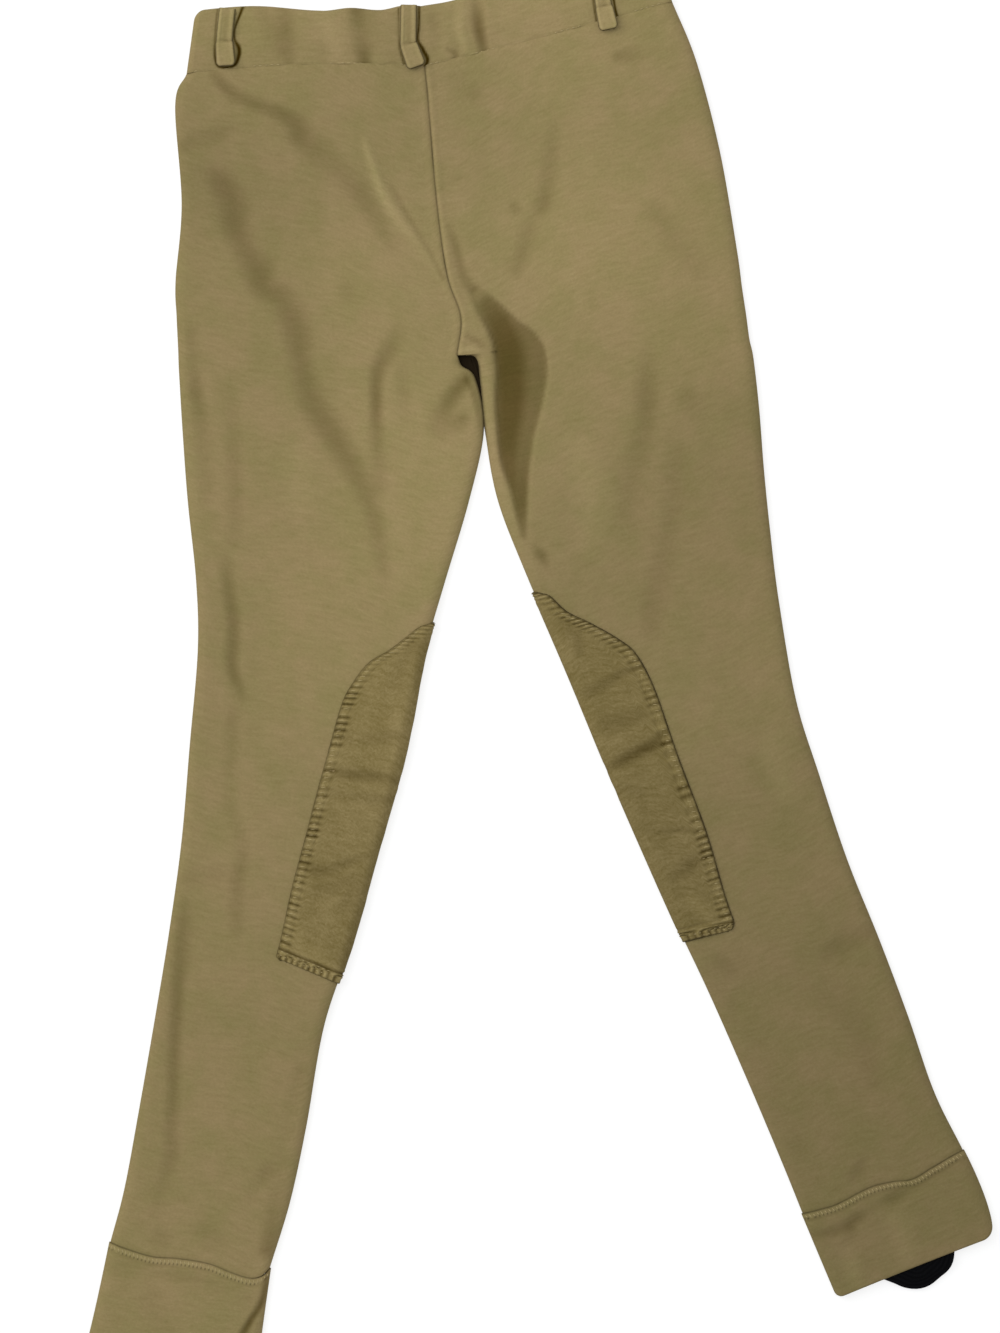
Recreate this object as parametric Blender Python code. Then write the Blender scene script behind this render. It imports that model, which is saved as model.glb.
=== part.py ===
"""Child's riding breeches in knit cloth, laid flat on their front with the back panels up.

+X runs to the wearer's right, +Y towards the waist and +Z up from the surface they lie on.
Each leg is a flattened tube of cloth, given by a short table of sections from the waist seam
down to the cuff seam. A section is a line across the leg from its outer edge to its inner edge.
The front panel is the lower half of the tube and lies on Z = 0. The back panel is the upper half,
and lies just above it. All sizes in the tables and constants are in millimetres.
"""

import math
from collections import namedtuple

import bpy
from mathutils import Vector

MM = 0.001

# --- driving dimensions -----------------------------------------------------------------------
FRAME_X = 0.1           # moves the garment so that the middle of its box is at X = Y = 0
FRAME_Y = 2.6
KNIT = 1.2              # wall of the cotton knit
CASING = 2.6            # wall of the waistband, two layers of knit round an elastic
CUFF_WALL = 1.6         # wall of the doubled ankle cuff
PATCH_CLOTH = 1.0       # wall of the knee patches
STRAP = 1.2             # thickness of the elastic under the foot
SEAM = 0.3              # gap kept between two pieces that are sewn together
BACK_TOP = 6.0          # height of the back panels' upper face
FOLD_LINE = 2.0         # height of the side seams and inseams, where back and front meet
BACK_ROUND = 7.0        # how far in from its edge a back panel curves over
FRONT_ROUND = 2.5       # the same on a front panel, which is flatter
CASING_TOP = 8.8        # height of the waistband's upper face
CASING_LINE = 3.6       # height of the waistband's side seams
CASING_ROUND = 4.0
SEAM_BAR = 1.4          # wall of the casing where it is pressed at its seam and top fold
CUFF_STEP = 0.7         # how much wider than the leg the cuff is, at each side
LOOP_WIDTH = 11.0
LOOP_CLOTH = 1.1
LOOP_FOOT_CLOTH = 2.0   # the loop's foot is turned under, so it is two layers
LOOP_ARCH = 2.0         # slack that a belt goes through
LOOP_TACK = 0.62        # share of the loop's length above its tack
FRONT_LOOP_CLOTH = 1.0
PATCH_LIFT = PATCH_CLOTH + SEAM
LOOP_LIFT = FRONT_LOOP_CLOTH + SEAM
STRAP_WIDTH = 20.0
STRAP_BEND = 14.0       # radius of the strap's middle line where it turns under the foot
STRAP_SHOWS = 12.0      # how far it hangs out below the hem
STRAP_SPLAY = 20.0      # degrees that its two arms open out
STRAP_ARM = 22.0        # length of an arm above the bend
STRAP_DROPS_AT = 4.5    # how far below the hem it starts to come down to the surface
STRAP_DROPS_OVER = 5.0

# --- the cut of the garment ---------------------------------------------------------------------
# A section runs across one leg. bow is how far its middle rises towards the waist.
Section = namedtuple("Section", "place outer_x outer_y inner_x inner_y bow")
CROTCH = 4              # the section, counted from 0, at which the legs part

LEFT_SECTIONS = (
    Section("waist seam", -204.5, 335.0, -67.5, 339.0, 3.0),
    Section("high hip", -211.2, 317.0, -65.5, 320.0, 0.0),
    Section("hip", -207.5, 260.0, -60.5, 261.0, 0.0),
    Section("seat", -211.0, 215.5, -54.5, 218.5, 0.0),
    Section("crotch", -209.5, 178.0, -46.5, 175.0, 0.0),
    Section("fork", -208.5, 155.0, -37.4, 157.5, 0.0),
    Section("thigh top", -207.0, 129.5, -33.2, 129.5, 0.0),
    Section("thigh", -204.0, 89.0, -42.0, 88.0, 0.0),
    Section("low thigh", -199.2, 43.0, -56.0, 41.0, 0.0),
    Section("knee top", -198.2, 3.0, -67.6, -0.5, 0.0),
    Section("knee", -202.8, -51.5, -79.0, -57.5, 0.0),
    Section("below knee", -207.5, -106.5, -94.7, -113.5, 0.0),
    Section("calf top", -214.5, -158.0, -109.2, -165.5, 0.0),
    Section("calf", -222.5, -207.0, -125.2, -213.5, 0.0),
    Section("low calf", -232.5, -264.5, -135.5, -271.5, 0.0),
    Section("ankle", -240.5, -307.5, -145.0, -315.5, -1.0),
    Section("cuff seam", -248.5, -338.0, -156.5, -352.5, -3.0),
)
RIGHT_SECTIONS = (
    Section("waist seam", 75.0, 376.5, -67.5, 339.0, -1.0),
    Section("high hip", 89.0, 342.0, -65.5, 320.0, 0.0),
    Section("hip", 102.5, 290.5, -60.5, 261.0, 0.0),
    Section("seat", 112.3, 234.0, -54.5, 218.5, 0.0),
    Section("crotch", 116.5, 204.0, -46.5, 175.0, 0.0),
    Section("fork", 119.5, 186.0, -37.5, 170.5, 0.0),
    Section("low fork", 122.0, 172.0, -35.0, 154.5, 0.0),
    Section("thigh top", 125.3, 141.0, -32.4, 125.5, 0.0),
    Section("thigh", 128.0, 106.5, -25.5, 89.0, 0.0),
    Section("low thigh", 131.5, 72.0, -10.0, 48.5, 0.0),
    Section("knee top", 136.5, 31.5, 12.3, -3.5, 0.0),
    Section("knee", 146.5, -26.0, 35.0, -58.0, 0.0),
    Section("below knee", 159.8, -69.0, 55.2, -105.0, 0.0),
    Section("calf top", 176.0, -118.0, 76.7, -153.5, 0.0),
    Section("calf", 194.5, -164.0, 96.5, -195.5, 0.0),
    Section("low calf", 211.0, -208.0, 118.5, -245.5, 0.0),
    Section("ankle", 226.0, -251.5, 138.5, -293.0, 0.0),
    Section("cuff seam", 242.5, -285.0, 150.0, -321.5, 0.0),
)
# The hem of each cuff, the radius of its corners, and how far the cuff bellies out at its outer side.
Hem = namedtuple("Hem", "outer_x outer_y inner_x inner_y bow outer_corner inner_corner belly")
LEFT_HEM = Hem(-260.0, -391.0, -164.0, -407.0, -1.5, 6.0, 4.0, 0.5)
RIGHT_HEM = Hem(261.5, -334.0, 170.5, -370.0, 0.5, 9.0, 4.0, 2.2)

# The front panels share a seam of their own, from the waist to a crotch point that is lower.
FRONT_SEAM = ((-67.5, 338.5), (-61.0, 302.0), (-54.0, 256.0), (-47.0, 210.0), (-40.0, 172.5))
FRONT_FORK_LEFT = ((-37.0, 157.5),)
FRONT_FORK_RIGHT = ((-36.0, 161.0), (-34.8, 149.0))

# The largest folds: valleys in the back panels, from start to end, with half their width.
Fold = namedtuple("Fold", "place start_x start_y end_x end_y reach depth")
LEFT_FOLDS = (
    Fold("seat, upper", -186.0, 310.0, -124.0, 252.0, 13.0, 1.6),
    Fold("hip to thigh, upper", -189.0, 252.0, -150.0, 190.0, 19.0, 2.4),
    Fold("hip to thigh, lower", -150.0, 190.0, -97.0, 58.0, 17.0, 2.2),
)
RIGHT_FOLDS = (
    Fold("inner thigh, upper", -32.0, 200.0, -10.0, 150.0, 12.0, 3.0),
    Fold("inner thigh, lower", -10.0, 150.0, -12.0, 88.0, 11.0, 3.0),
)

# The knee patches go round the inner edge. reach is how far they come in over each panel,
# at a place on the inner edge that is given by its Y.
Patch = namedtuple("Patch", "edge_y reach")
LEFT_PATCH = (
    Patch(15.0, 8.2),
    Patch(3.0, 20.0),
    Patch(-5.0, 30.5),
    Patch(-16.0, 37.0),
    Patch(-32.0, 42.0),
    Patch(-69.0, 44.0),
    Patch(-112.0, 43.0),
    Patch(-150.0, 42.5),
    Patch(-189.0, 40.0),
)
RIGHT_PATCH = (
    Patch(32.0, 8.2),
    Patch(22.0, 13.5),
    Patch(12.5, 23.5),
    Patch(0.0, 34.5),
    Patch(-11.0, 40.5),
    Patch(-32.0, 42.5),
    Patch(-69.0, 40.0),
    Patch(-113.0, 37.5),
    Patch(-147.0, 32.5),
    Patch(-165.0, 30.5),
)
PATCH_SLANTS = {"left": 12.0, "right": -2.0}    # how much longer a patch is at the inner edge
PATCH_TAILS = 3                                 # rows over which its lower end slants

# Waistband: lean of its upright from +Y, in degrees towards +X, and its height, along X.
Band = namedtuple("Band", "x lean height")
WAISTBAND = (
    Band(-204.5, 8.0, 36.0),
    Band(-168.0, 4.0, 35.0),
    Band(-128.0, 1.0, 30.5),
    Band(-110.0, 0.0, 32.0),
    Band(-93.0, 0.0, 31.0),
    Band(-76.0, -2.0, 34.5),
    Band(-50.0, -6.0, 33.0),
    Band(35.0, -12.0, 33.0),
    Band(75.0, -18.0, 32.0),
)
BAND_CORNER = 6.0
# Soft upright creases that the elastic pulls into the casing.
Crease = namedtuple("Crease", "x reach depth")
BAND_CREASES = (Crease(-151.0, 9.0, 0.7), Crease(-104.0, 9.0, 1.5), Crease(-36.0, 8.0, 1.7))

# Belt loops over the back of the waistband, by their middle line in plan.
Loop = namedtuple("Loop", "name top_x top_y tack_x tack_y foot_x foot_y")
BACK_LOOPS = (
    Loop("belt_loop_back_left", -180.6, 371.5, -182.4, 352.5, -181.4, 338.0),
    Loop("belt_loop_centre_back", -76.5, 373.5, -76.8, 351.0, -71.8, 337.5),
    Loop("belt_loop_back_right", 31.5, 393.0, 35.5, 372.5, 38.5, 359.0),
)
# The front ones are pressed flat under the waistband, evenly spaced with the others.
FrontLoop = namedtuple("FrontLoop", "name x")
FRONT_LOOPS = (FrontLoop("belt_loop_front_left", -122.0), FrontLoop("belt_loop_front_right", -2.0))

# --- mesh steps ---------------------------------------------------------------------------------
ROWS_PER_SECTION = 2
CUFF_LENGTH_STEPS = 4
BACK_EDGE_STEPS = 3
BACK_MIDDLE_STEPS = 9
FRONT_EDGE_STEPS = 2
FRONT_MIDDLE_STEPS = 4
PATCH_MIDDLE_STEPS = 3
PATCH_ROWS_PER_STEP = 2
LOOP_STEPS = 10
STRAP_ARC_STEPS = 8
STRAP_ARM_STEPS = 3
STRAP_ACROSS_STEPS = 5


# --- curves and blends ----------------------------------------------------------------------
def smooth(share):
    """0 below 0, 1 above 1, and an even slope between."""
    share = min(max(share, 0.0), 1.0)
    return share * share * (3.0 - 2.0 * share)


def mix(a, b, share):
    return a + (b - a) * share


def through(values, at):
    """Catmull-Rom curve through a list of numbers or vectors, read at a fractional index."""
    last = len(values) - 1
    low = min(max(int(math.floor(at)), 0), last - 1)
    t = at - low
    a = values[low]
    b = values[low + 1]
    before = values[low - 1] if low > 0 else a * 2.0 - b
    after = values[low + 2] if low + 2 <= last else b * 2.0 - a
    return 0.5 * (a * 2.0 + (b - before) * t + (before * 2.0 - a * 5.0 + b * 4.0 - after) * t * t
                  + (a * 3.0 - before - b * 3.0 + after) * t * t * t)


def along_table(rows, key, value, at):
    """Straight interpolation of one named column against another, which may run either way."""
    ordered = sorted(rows, key=lambda row: getattr(row, key))
    if at <= getattr(ordered[0], key):
        return getattr(ordered[0], value)
    for low, high in zip(ordered, ordered[1:]):
        if at <= getattr(high, key):
            share = (at - getattr(low, key)) / (getattr(high, key) - getattr(low, key))
            return mix(getattr(low, value), getattr(high, value), share)
    return getattr(ordered[-1], value)


# --- one leg of the garment -----------------------------------------------------------------
class Leg:
    """The plan of one leg: its edges, its folds and the lift that its knee patch gives it."""

    def __init__(self, side, sections, hem, folds, patch, front_fork, seam_side):
        self.side = side
        self.hem = hem
        self.folds = folds
        self.patch = patch
        self.slant = PATCH_SLANTS[side]
        self.seam_side = seam_side          # -1 left of the centre seams, +1 right of them
        self.last = len(sections) - 1
        self.outer = [Vector((row.outer_x, row.outer_y)) for row in sections]
        inner = [Vector((row.inner_x, row.inner_y)) for row in sections]
        self.bow = [row.bow for row in sections]
        front_seat = [Vector(point) for point in FRONT_SEAM]
        front_top = [Vector(point) for point in front_fork]
        self.seat = {"back": inner[:CROTCH + 1], "front": front_seat}
        below = CROTCH + 1 + len(front_top)
        self.inseam = {"back": inner[CROTCH:], "front": front_seat[-1:] + front_top + inner[below:]}

    def line(self, face, at):
        """The outer and the inner end of the section at a fractional row, and its bow."""
        outer = through(self.outer, at)
        if at <= CROTCH:
            inner = through(self.seat[face], at)
        else:
            inner = through(self.inseam[face], at - CROTCH)
        inner = inner + Vector((self.seam_side * SEAM / 2, 0.0))
        return outer, inner, through(self.bow, at)

    def edge_row(self, y):
        """The fractional row at which the inseam passes a given Y."""
        low = float(CROTCH + 1)
        high = float(self.last)
        for _ in range(40):
            middle = (low + high) / 2
            if self.line("back", middle)[1].y > y:
                low = middle
            else:
                high = middle
        return low

    def rolled(self, at):
        """1 where the inner edge is a rolled edge of the leg, 0 where it is a centre seam."""
        return smooth(at - CROTCH)

    def lift(self, at, from_inner):
        """How much the cloth is raised by the knee patch that lies under its front."""
        y = self.line("back", max(at, CROTCH + 1.0))[1].y
        above = smooth((self.patch[0].edge_y + 40.0 - y) / 30.0)
        below = smooth((y - self.patch[-1].edge_y + 40.0) / 30.0)
        return PATCH_LIFT * above * below * smooth((98.0 - from_inner) / 34.0)

    def fold_depth(self, x, y):
        """Depth of the folds at a point in plan."""
        depth = 0.0
        for fold in self.folds:
            start = Vector((fold.start_x, fold.start_y))
            run = Vector((fold.end_x, fold.end_y)) - start
            share = min(max((Vector((x, y)) - start).dot(run) / run.length_squared, 0.0), 1.0)
            off = (Vector((x, y)) - start - run * share).length
            depth = max(depth, fold.depth * smooth(1.0 - off / (2.0 * fold.reach)))
        return depth


LEFT = Leg("left", LEFT_SECTIONS, LEFT_HEM, LEFT_FOLDS, LEFT_PATCH, FRONT_FORK_LEFT, -1)
RIGHT = Leg("right", RIGHT_SECTIONS, RIGHT_HEM, RIGHT_FOLDS, RIGHT_PATCH, FRONT_FORK_RIGHT, 1)

# How a half of a flattened tube is shaped across: where it turns over and how high it stands.
Half = namedtuple("Half", "face up line_gap round edge_steps middle_steps")
BACK = Half("back", 1, SEAM / 2, BACK_ROUND, BACK_EDGE_STEPS, BACK_MIDDLE_STEPS)
FRONT = Half("front", -1, -SEAM / 2, FRONT_ROUND, FRONT_EDGE_STEPS, FRONT_MIDDLE_STEPS)
WHOLE_BACK = BACK._replace(line_gap=0.0)
WHOLE_FRONT = FRONT._replace(line_gap=0.0)
BAND_FRONT = FRONT._replace(round=CASING_ROUND)


def columns(width, half):
    """Distances in from the outer edge, with the angles of the roll at both edges."""
    turns = [90.0 * step / half.edge_steps for step in range(half.edge_steps + 1)]
    rolls = [half.round * (1.0 - math.cos(math.radians(turn))) for turn in turns]
    flat = width - 2.0 * half.round
    middle = [half.round + flat * step / half.middle_steps for step in range(1, half.middle_steps)]
    left = [(roll, turn, 90.0) for roll, turn in zip(rolls, turns)]
    centre = [(distance, 90.0, 90.0) for distance in middle]
    right = [(width - roll, 90.0, turn) for roll, turn in zip(reversed(rolls), reversed(turns))]
    return left + centre + right


def roll_normal(half, height, outer_turn, inner_turn, rolled):
    """Outward direction across the leg and up, on the face of a rolled half."""
    outer_out = math.cos(math.radians(outer_turn)) / half.round
    inner_out = math.cos(math.radians(inner_turn)) / half.round * rolled
    up = mix(1.0, math.sin(math.radians(min(outer_turn, inner_turn))),
             rolled if inner_turn < 90.0 else 1.0) / height
    length = math.hypot(inner_out - outer_out, up)
    return (inner_out - outer_out) / length, half.up * up / length


def rise(outer_turn, inner_turn, rolled):
    """Share of the way from the fold line to the flat of a panel."""
    at_outer = math.sin(math.radians(outer_turn))
    at_inner = 1.0 - rolled * (1.0 - math.sin(math.radians(inner_turn)))
    return at_outer * at_inner


def leg_point(leg, half, at, column):
    """A point on the leg's outer face, its direction across, and its outward normal."""
    outer, inner, bow = leg.line(half.face, at)
    width = (inner - outer).length
    across = (inner - outer) / width
    distance, outer_turn, inner_turn = column
    share = distance / width
    plan = outer + across * distance
    x = plan.x
    y = plan.y + bow * 4.0 * share * (1.0 - share)
    rolled = leg.rolled(at)
    lift = leg.lift(at, width - distance)
    line = FOLD_LINE + half.line_gap + lift
    if half.up > 0:
        level = BACK_TOP + lift - leg.fold_depth(x, y)
    else:
        level = lift
    z = mix(line, level, rise(outer_turn, inner_turn, rolled))
    out, up = roll_normal(half, abs(level - line), outer_turn, inner_turn, rolled)
    return Vector((x, y, z)), Vector((across.x * out, across.y * out, up))


# --- mesh making ----------------------------------------------------------------------------
def material(name, rgb, roughness):
    """A plain material with one colour."""
    made = bpy.data.materials.new(name)
    made.use_nodes = True
    shader = made.node_tree.nodes["Principled BSDF"]
    shader.inputs["Base Color"].default_value = (*rgb, 1.0)
    shader.inputs["Roughness"].default_value = roughness
    made.diffuse_color = (*rgb, 1.0)
    return made


def wall(name, outer, inner, finish, ring=False):
    """A closed wall of cloth between two grids of points; a ring joins its last column to its first."""
    rows = len(outer)
    cols = len(outer[0])
    points = [point for grid in (outer, inner) for row in grid for point in row]
    faces = []

    def corner(layer, row, col):
        return layer * rows * cols + row * cols + col % cols

    for row in range(rows - 1):
        for col in range(cols if ring else cols - 1):
            square = ((row, col), (row, col + 1), (row + 1, col + 1), (row + 1, col))
            faces.append([corner(0, *place) for place in square])
            faces.append([corner(1, *place) for place in reversed(square)])
    edges = []
    for col in range(cols if ring else cols - 1):
        edges.append(((0, col + 1), (0, col)))
        edges.append(((rows - 1, col), (rows - 1, col + 1)))
    if not ring:
        for row in range(rows - 1):
            edges.append(((row, 0), (row + 1, 0)))
            edges.append(((row + 1, cols - 1), (row, cols - 1)))
    for start, end in edges:
        faces.append([corner(0, *start), corner(0, *end), corner(1, *end), corner(1, *start)])
    mesh = bpy.data.meshes.new(name)
    shift = Vector((FRAME_X, FRAME_Y, 0.0))
    mesh.from_pydata([(point + shift) * MM for point in points], [], faces)
    if volume(mesh) < 0:
        mesh.flip_normals()
    mesh.shade_smooth()
    mesh.set_sharp_from_angle(angle=math.radians(40.0))
    mesh.materials.append(finish)
    made = bpy.data.objects.new(name, mesh)
    bpy.context.collection.objects.link(made)
    return made


def volume(mesh):
    """Signed volume, which is negative when the faces point inwards."""
    total = 0.0
    for face in mesh.polygons:
        corners = [mesh.vertices[index].co for index in face.vertices]
        for second, third in zip(corners[1:], corners[2:]):
            total += corners[0].dot(second.cross(third)) / 6.0
    return total


def panel(name, leg, half, finish):
    """A front or back panel, from the waist seam to the cuff seam."""
    outer = []
    inner = []
    steps = leg.last * ROWS_PER_SECTION
    for step in range(steps + 1):
        at = step / ROWS_PER_SECTION
        ends = leg.line(half.face, at)
        made = [leg_point(leg, half, at, column) for column in columns((ends[1] - ends[0]).length, half)]
        slip = Vector((0.0, 0.0, 0.0))
        if step == 0:
            slip.y = -SEAM / 2
        if step == steps:
            slip.y = SEAM / 2
        outer.append([point + slip for point, normal in made])
        inner.append([point - normal * KNIT + slip for point, normal in made])
    return wall(name, outer, inner, finish)


# --- cuffs ------------------------------------------------------------------------------------
def round_corner(distance, radius):
    """How far a rounded corner draws the hem back, at a distance in from the edge."""
    if distance >= radius:
        return 0.0
    return radius - math.sqrt(radius * radius - (radius - distance) ** 2)


def cuff(name, leg, finish):
    """A doubled band sewn round the end of the leg."""
    top_outer, top_inner, top_bow = leg.line("back", leg.last)
    hem = leg.hem
    hem_outer = Vector((hem.outer_x, hem.outer_y))
    hem_inner = Vector((hem.inner_x, hem.inner_y))
    down = ((hem_outer + hem_inner) - (top_outer + top_inner)).normalized()
    outer = []
    inner = []
    for step in range(CUFF_LENGTH_STEPS + 1):
        share = step / CUFF_LENGTH_STEPS
        start = mix(top_outer, hem_outer, share)
        end = mix(top_inner, hem_inner, share)
        apart = (end - start).normalized()
        start -= apart * mix(CUFF_STEP, hem.belly, 4.0 * share * (1.0 - share))
        end += apart * CUFF_STEP
        bow = mix(top_bow, hem.bow, share)
        width = (end - start).length
        across = (end - start) / width
        skin = []
        lining = []
        upper = [(WHOLE_BACK, column) for column in columns(width, WHOLE_BACK)]
        lower = [(WHOLE_FRONT, column) for column in reversed(columns(width, WHOLE_FRONT)[1:-1])]
        for half, (distance, outer_turn, inner_turn) in upper + lower:
            plan = start + across * distance
            plan.y += bow * 4.0 * (distance / width) * (1.0 - distance / width)
            if step == 0:
                plan.y -= SEAM / 2
            if step == CUFF_LENGTH_STEPS:
                plan -= down * (round_corner(distance, hem.outer_corner)
                                + round_corner(width - distance, hem.inner_corner))
            level = BACK_TOP if half.up > 0 else 0.0
            z = mix(FOLD_LINE, level, rise(outer_turn, inner_turn, 1.0))
            out, up = roll_normal(half, abs(level - FOLD_LINE), outer_turn, inner_turn, 1.0)
            point = Vector((plan.x, plan.y, z))
            skin.append(point)
            lining.append(point - Vector((across.x * out, across.y * out, up)) * CUFF_WALL)
        outer.append(skin)
        inner.append(lining)
    return wall(name, outer, inner, finish, ring=True)


# --- knee patches -----------------------------------------------------------------------------
def patch_columns(width, reach, half):
    """Columns of a patch on one half, from the inner edge in to its reach."""
    edge = [column for column in columns(width, half) if column[2] < 90.0]
    edge.reverse()
    flat = reach - half.round
    distances = [half.round + flat * step / PATCH_MIDDLE_STEPS for step in range(PATCH_MIDDLE_STEPS + 1)]
    return edge + [(width - distance, 90.0, 90.0) for distance in distances]


def knee_patch(name, leg, finish):
    """A patch that lies on the back panel, rolls round the inner edge and goes on under the front."""
    outer = []
    inner = []
    steps = (len(leg.patch) - 1) * PATCH_ROWS_PER_STEP
    for step in range(steps + 1):
        index = step / PATCH_ROWS_PER_STEP
        edge_y = through([row.edge_y for row in leg.patch], index)
        reach = through([row.reach for row in leg.patch], index)
        tail = smooth((index - (len(leg.patch) - 1 - PATCH_TAILS)) / PATCH_TAILS)
        ends = leg.line("back", leg.edge_row(edge_y))
        width = (ends[1] - ends[0]).length
        over = [(WHOLE_BACK, column) for column in reversed(patch_columns(width, reach, WHOLE_BACK))]
        under = [(WHOLE_FRONT, column) for column in patch_columns(width, reach, WHOLE_FRONT)[1:]]
        skin = []
        lining = []
        for half, (distance, outer_turn, inner_turn) in over + under:
            from_inner = width - distance
            at = leg.edge_row(edge_y + leg.slant * tail * from_inner / reach)
            ends = leg.line(half.face, at)
            column = ((ends[1] - ends[0]).length - from_inner, outer_turn, inner_turn)
            point, normal = leg_point(leg, half, at, column)
            lining.append(point + normal * SEAM)
            skin.append(point + normal * PATCH_LIFT)
        outer.append(skin)
        inner.append(lining)
    return wall(name, outer, inner, finish)


# --- waistband ------------------------------------------------------------------------------
def seam_line(half):
    """The lower edge of the waistband, from the left side to the right side, along both panels."""
    line = []
    for leg in (LEFT, RIGHT):
        ends = leg.line(half.face, 0.0)
        width = (ends[1] - ends[0]).length
        found = []
        for column in columns(width, half._replace(round=BACK_ROUND)):
            point = leg_point(leg, half, 0.0, column)[0]
            found.append(Vector((point.x, point.y)))
        line.append(found)
    left = line[0]
    right = list(reversed(line[1]))
    joint = (left[-1] + right[0]) / 2
    return left[:-half.edge_steps], joint, right[half.edge_steps:]


def finer(points):
    """The same run of points with one more halfway along each step."""
    made = [points[0]]
    for a, b in zip(points, points[1:]):
        made.append((a + b) / 2)
        made.append(b)
    return made


def waistband(name, half, finish):
    """One side of the elastic casing, from side seam to side seam."""
    left, joint, right = seam_line(half)
    edge = half.edge_steps
    flat = finer(left[edge:] + [joint] + right[:len(right) - edge])
    foot = left[:edge] + flat + right[len(right) - edge:]
    angles = [90.0 * step / edge for step in range(edge)]
    turns = [(angle, 90.0) for angle in angles]
    turns += [(90.0, 90.0)] * len(flat)
    turns += [(90.0, angle) for angle in reversed(angles)]
    heights = ((0.0, SEAM_BAR), (0.1, CASING), (0.5, CASING), (0.9, CASING), (1.0, SEAM_BAR))
    outer = []
    inner = []
    for share, thick in heights:
        skin = []
        lining = []
        for index, (place, (outer_turn, inner_turn)) in enumerate(zip(foot, turns)):
            lean = math.radians(along_table(WAISTBAND, "x", "lean", place.x))
            height = along_table(WAISTBAND, "x", "height", place.x)
            away = min((place - foot[0]).length, (place - foot[-1]).length)
            height -= round_corner(away, BAND_CORNER) * smooth(share * 2.0 - 1.0)
            upright = Vector((math.sin(lean), math.cos(lean)))
            plan = place + upright * height * share + Vector((0.0, SEAM / 2))
            start = foot[max(index - 1, 0)]
            end = foot[min(index + 1, len(foot) - 1)]
            across = (end - start).normalized()
            if half.up > 0:
                crease = max(line.depth * smooth(1.0 - abs(place.x - line.x) / (2.0 * line.reach))
                             for line in BAND_CREASES)
                level = CASING_TOP - crease - (CASING - thick) / 2
            else:
                near = min(abs(place.x - loop.x) for loop in FRONT_LOOPS)
                level = LOOP_LIFT * smooth((34.0 - near) / 18.0) + (CASING - thick) / 2
            line_height = CASING_LINE + half.line_gap
            z = mix(line_height, level, rise(outer_turn, inner_turn, 1.0))
            out, up = roll_normal(half, abs(level - line_height), outer_turn, inner_turn, 1.0)
            point = Vector((plan.x, plan.y, z))
            skin.append(point)
            lining.append(point - Vector((across.x * out, across.y * out, up)) * thick)
        outer.append(skin)
        inner.append(lining)
    return wall(name, outer, inner, finish)


# --- belt loops -----------------------------------------------------------------------------
def strip(name, stations, width, finish):
    """A flat strip along stations of (plan point, direction, underside, thickness)."""
    outer = []
    inner = []
    for place, direction, under, thick in stations:
        side = Vector((-direction.y, direction.x)) * width / 2
        ends = (place - side, place, place + side)
        inner.append([Vector((end.x, end.y, under)) for end in ends])
        outer.append([Vector((end.x, end.y, under + thick)) for end in ends])
    return wall(name, outer, inner, finish)


def back_loop(loop, finish):
    """A belt loop that arches over the waistband, is tacked down and has its foot turned under."""
    top = Vector((loop.top_x, loop.top_y))
    tack = Vector((loop.tack_x, loop.tack_y))
    foot = Vector((loop.foot_x, loop.foot_y))
    stations = []
    for step in range(LOOP_STEPS + 1):
        share = step / LOOP_STEPS
        if share < LOOP_TACK:
            place = mix(top, tack, share / LOOP_TACK)
            arch = LOOP_ARCH * math.sin(math.pi * share / LOOP_TACK)
        else:
            place = mix(tack, foot, (share - LOOP_TACK) / (1.0 - LOOP_TACK))
            arch = 0.0
        turn = smooth((share - LOOP_TACK + 0.1) / 0.2)
        direction = mix((tack - top).normalized(), (foot - tack).normalized(), turn).normalized()
        thick = mix(LOOP_CLOTH, LOOP_FOOT_CLOTH, smooth((share - LOOP_TACK) / 0.08))
        stations.append((place, direction, CASING_TOP + SEAM + arch, thick))
    return strip(loop.name, stations, LOOP_WIDTH, finish)


def front_loop(loop, finish):
    """A belt loop of the front, pressed flat between the waistband and the surface."""
    left, joint, right = seam_line(FRONT)
    foot_line = [(point.x, point.y) for point in left + [joint] + right]
    for low, high in zip(foot_line, foot_line[1:]):
        if low[0] <= loop.x <= high[0]:
            foot_y = mix(low[1], high[1], (loop.x - low[0]) / (high[0] - low[0]))
    lean = math.radians(along_table(WAISTBAND, "x", "lean", loop.x))
    height = along_table(WAISTBAND, "x", "height", loop.x)
    upright = Vector((math.sin(lean), math.cos(lean)))
    foot = Vector((loop.x, foot_y))
    stations = []
    for share in (0.04, 0.5, 0.96):
        stations.append((foot + upright * height * share, upright, 0.0, FRONT_LOOP_CLOTH))
    return strip(loop.name, stations, LOOP_WIDTH, finish)


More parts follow.
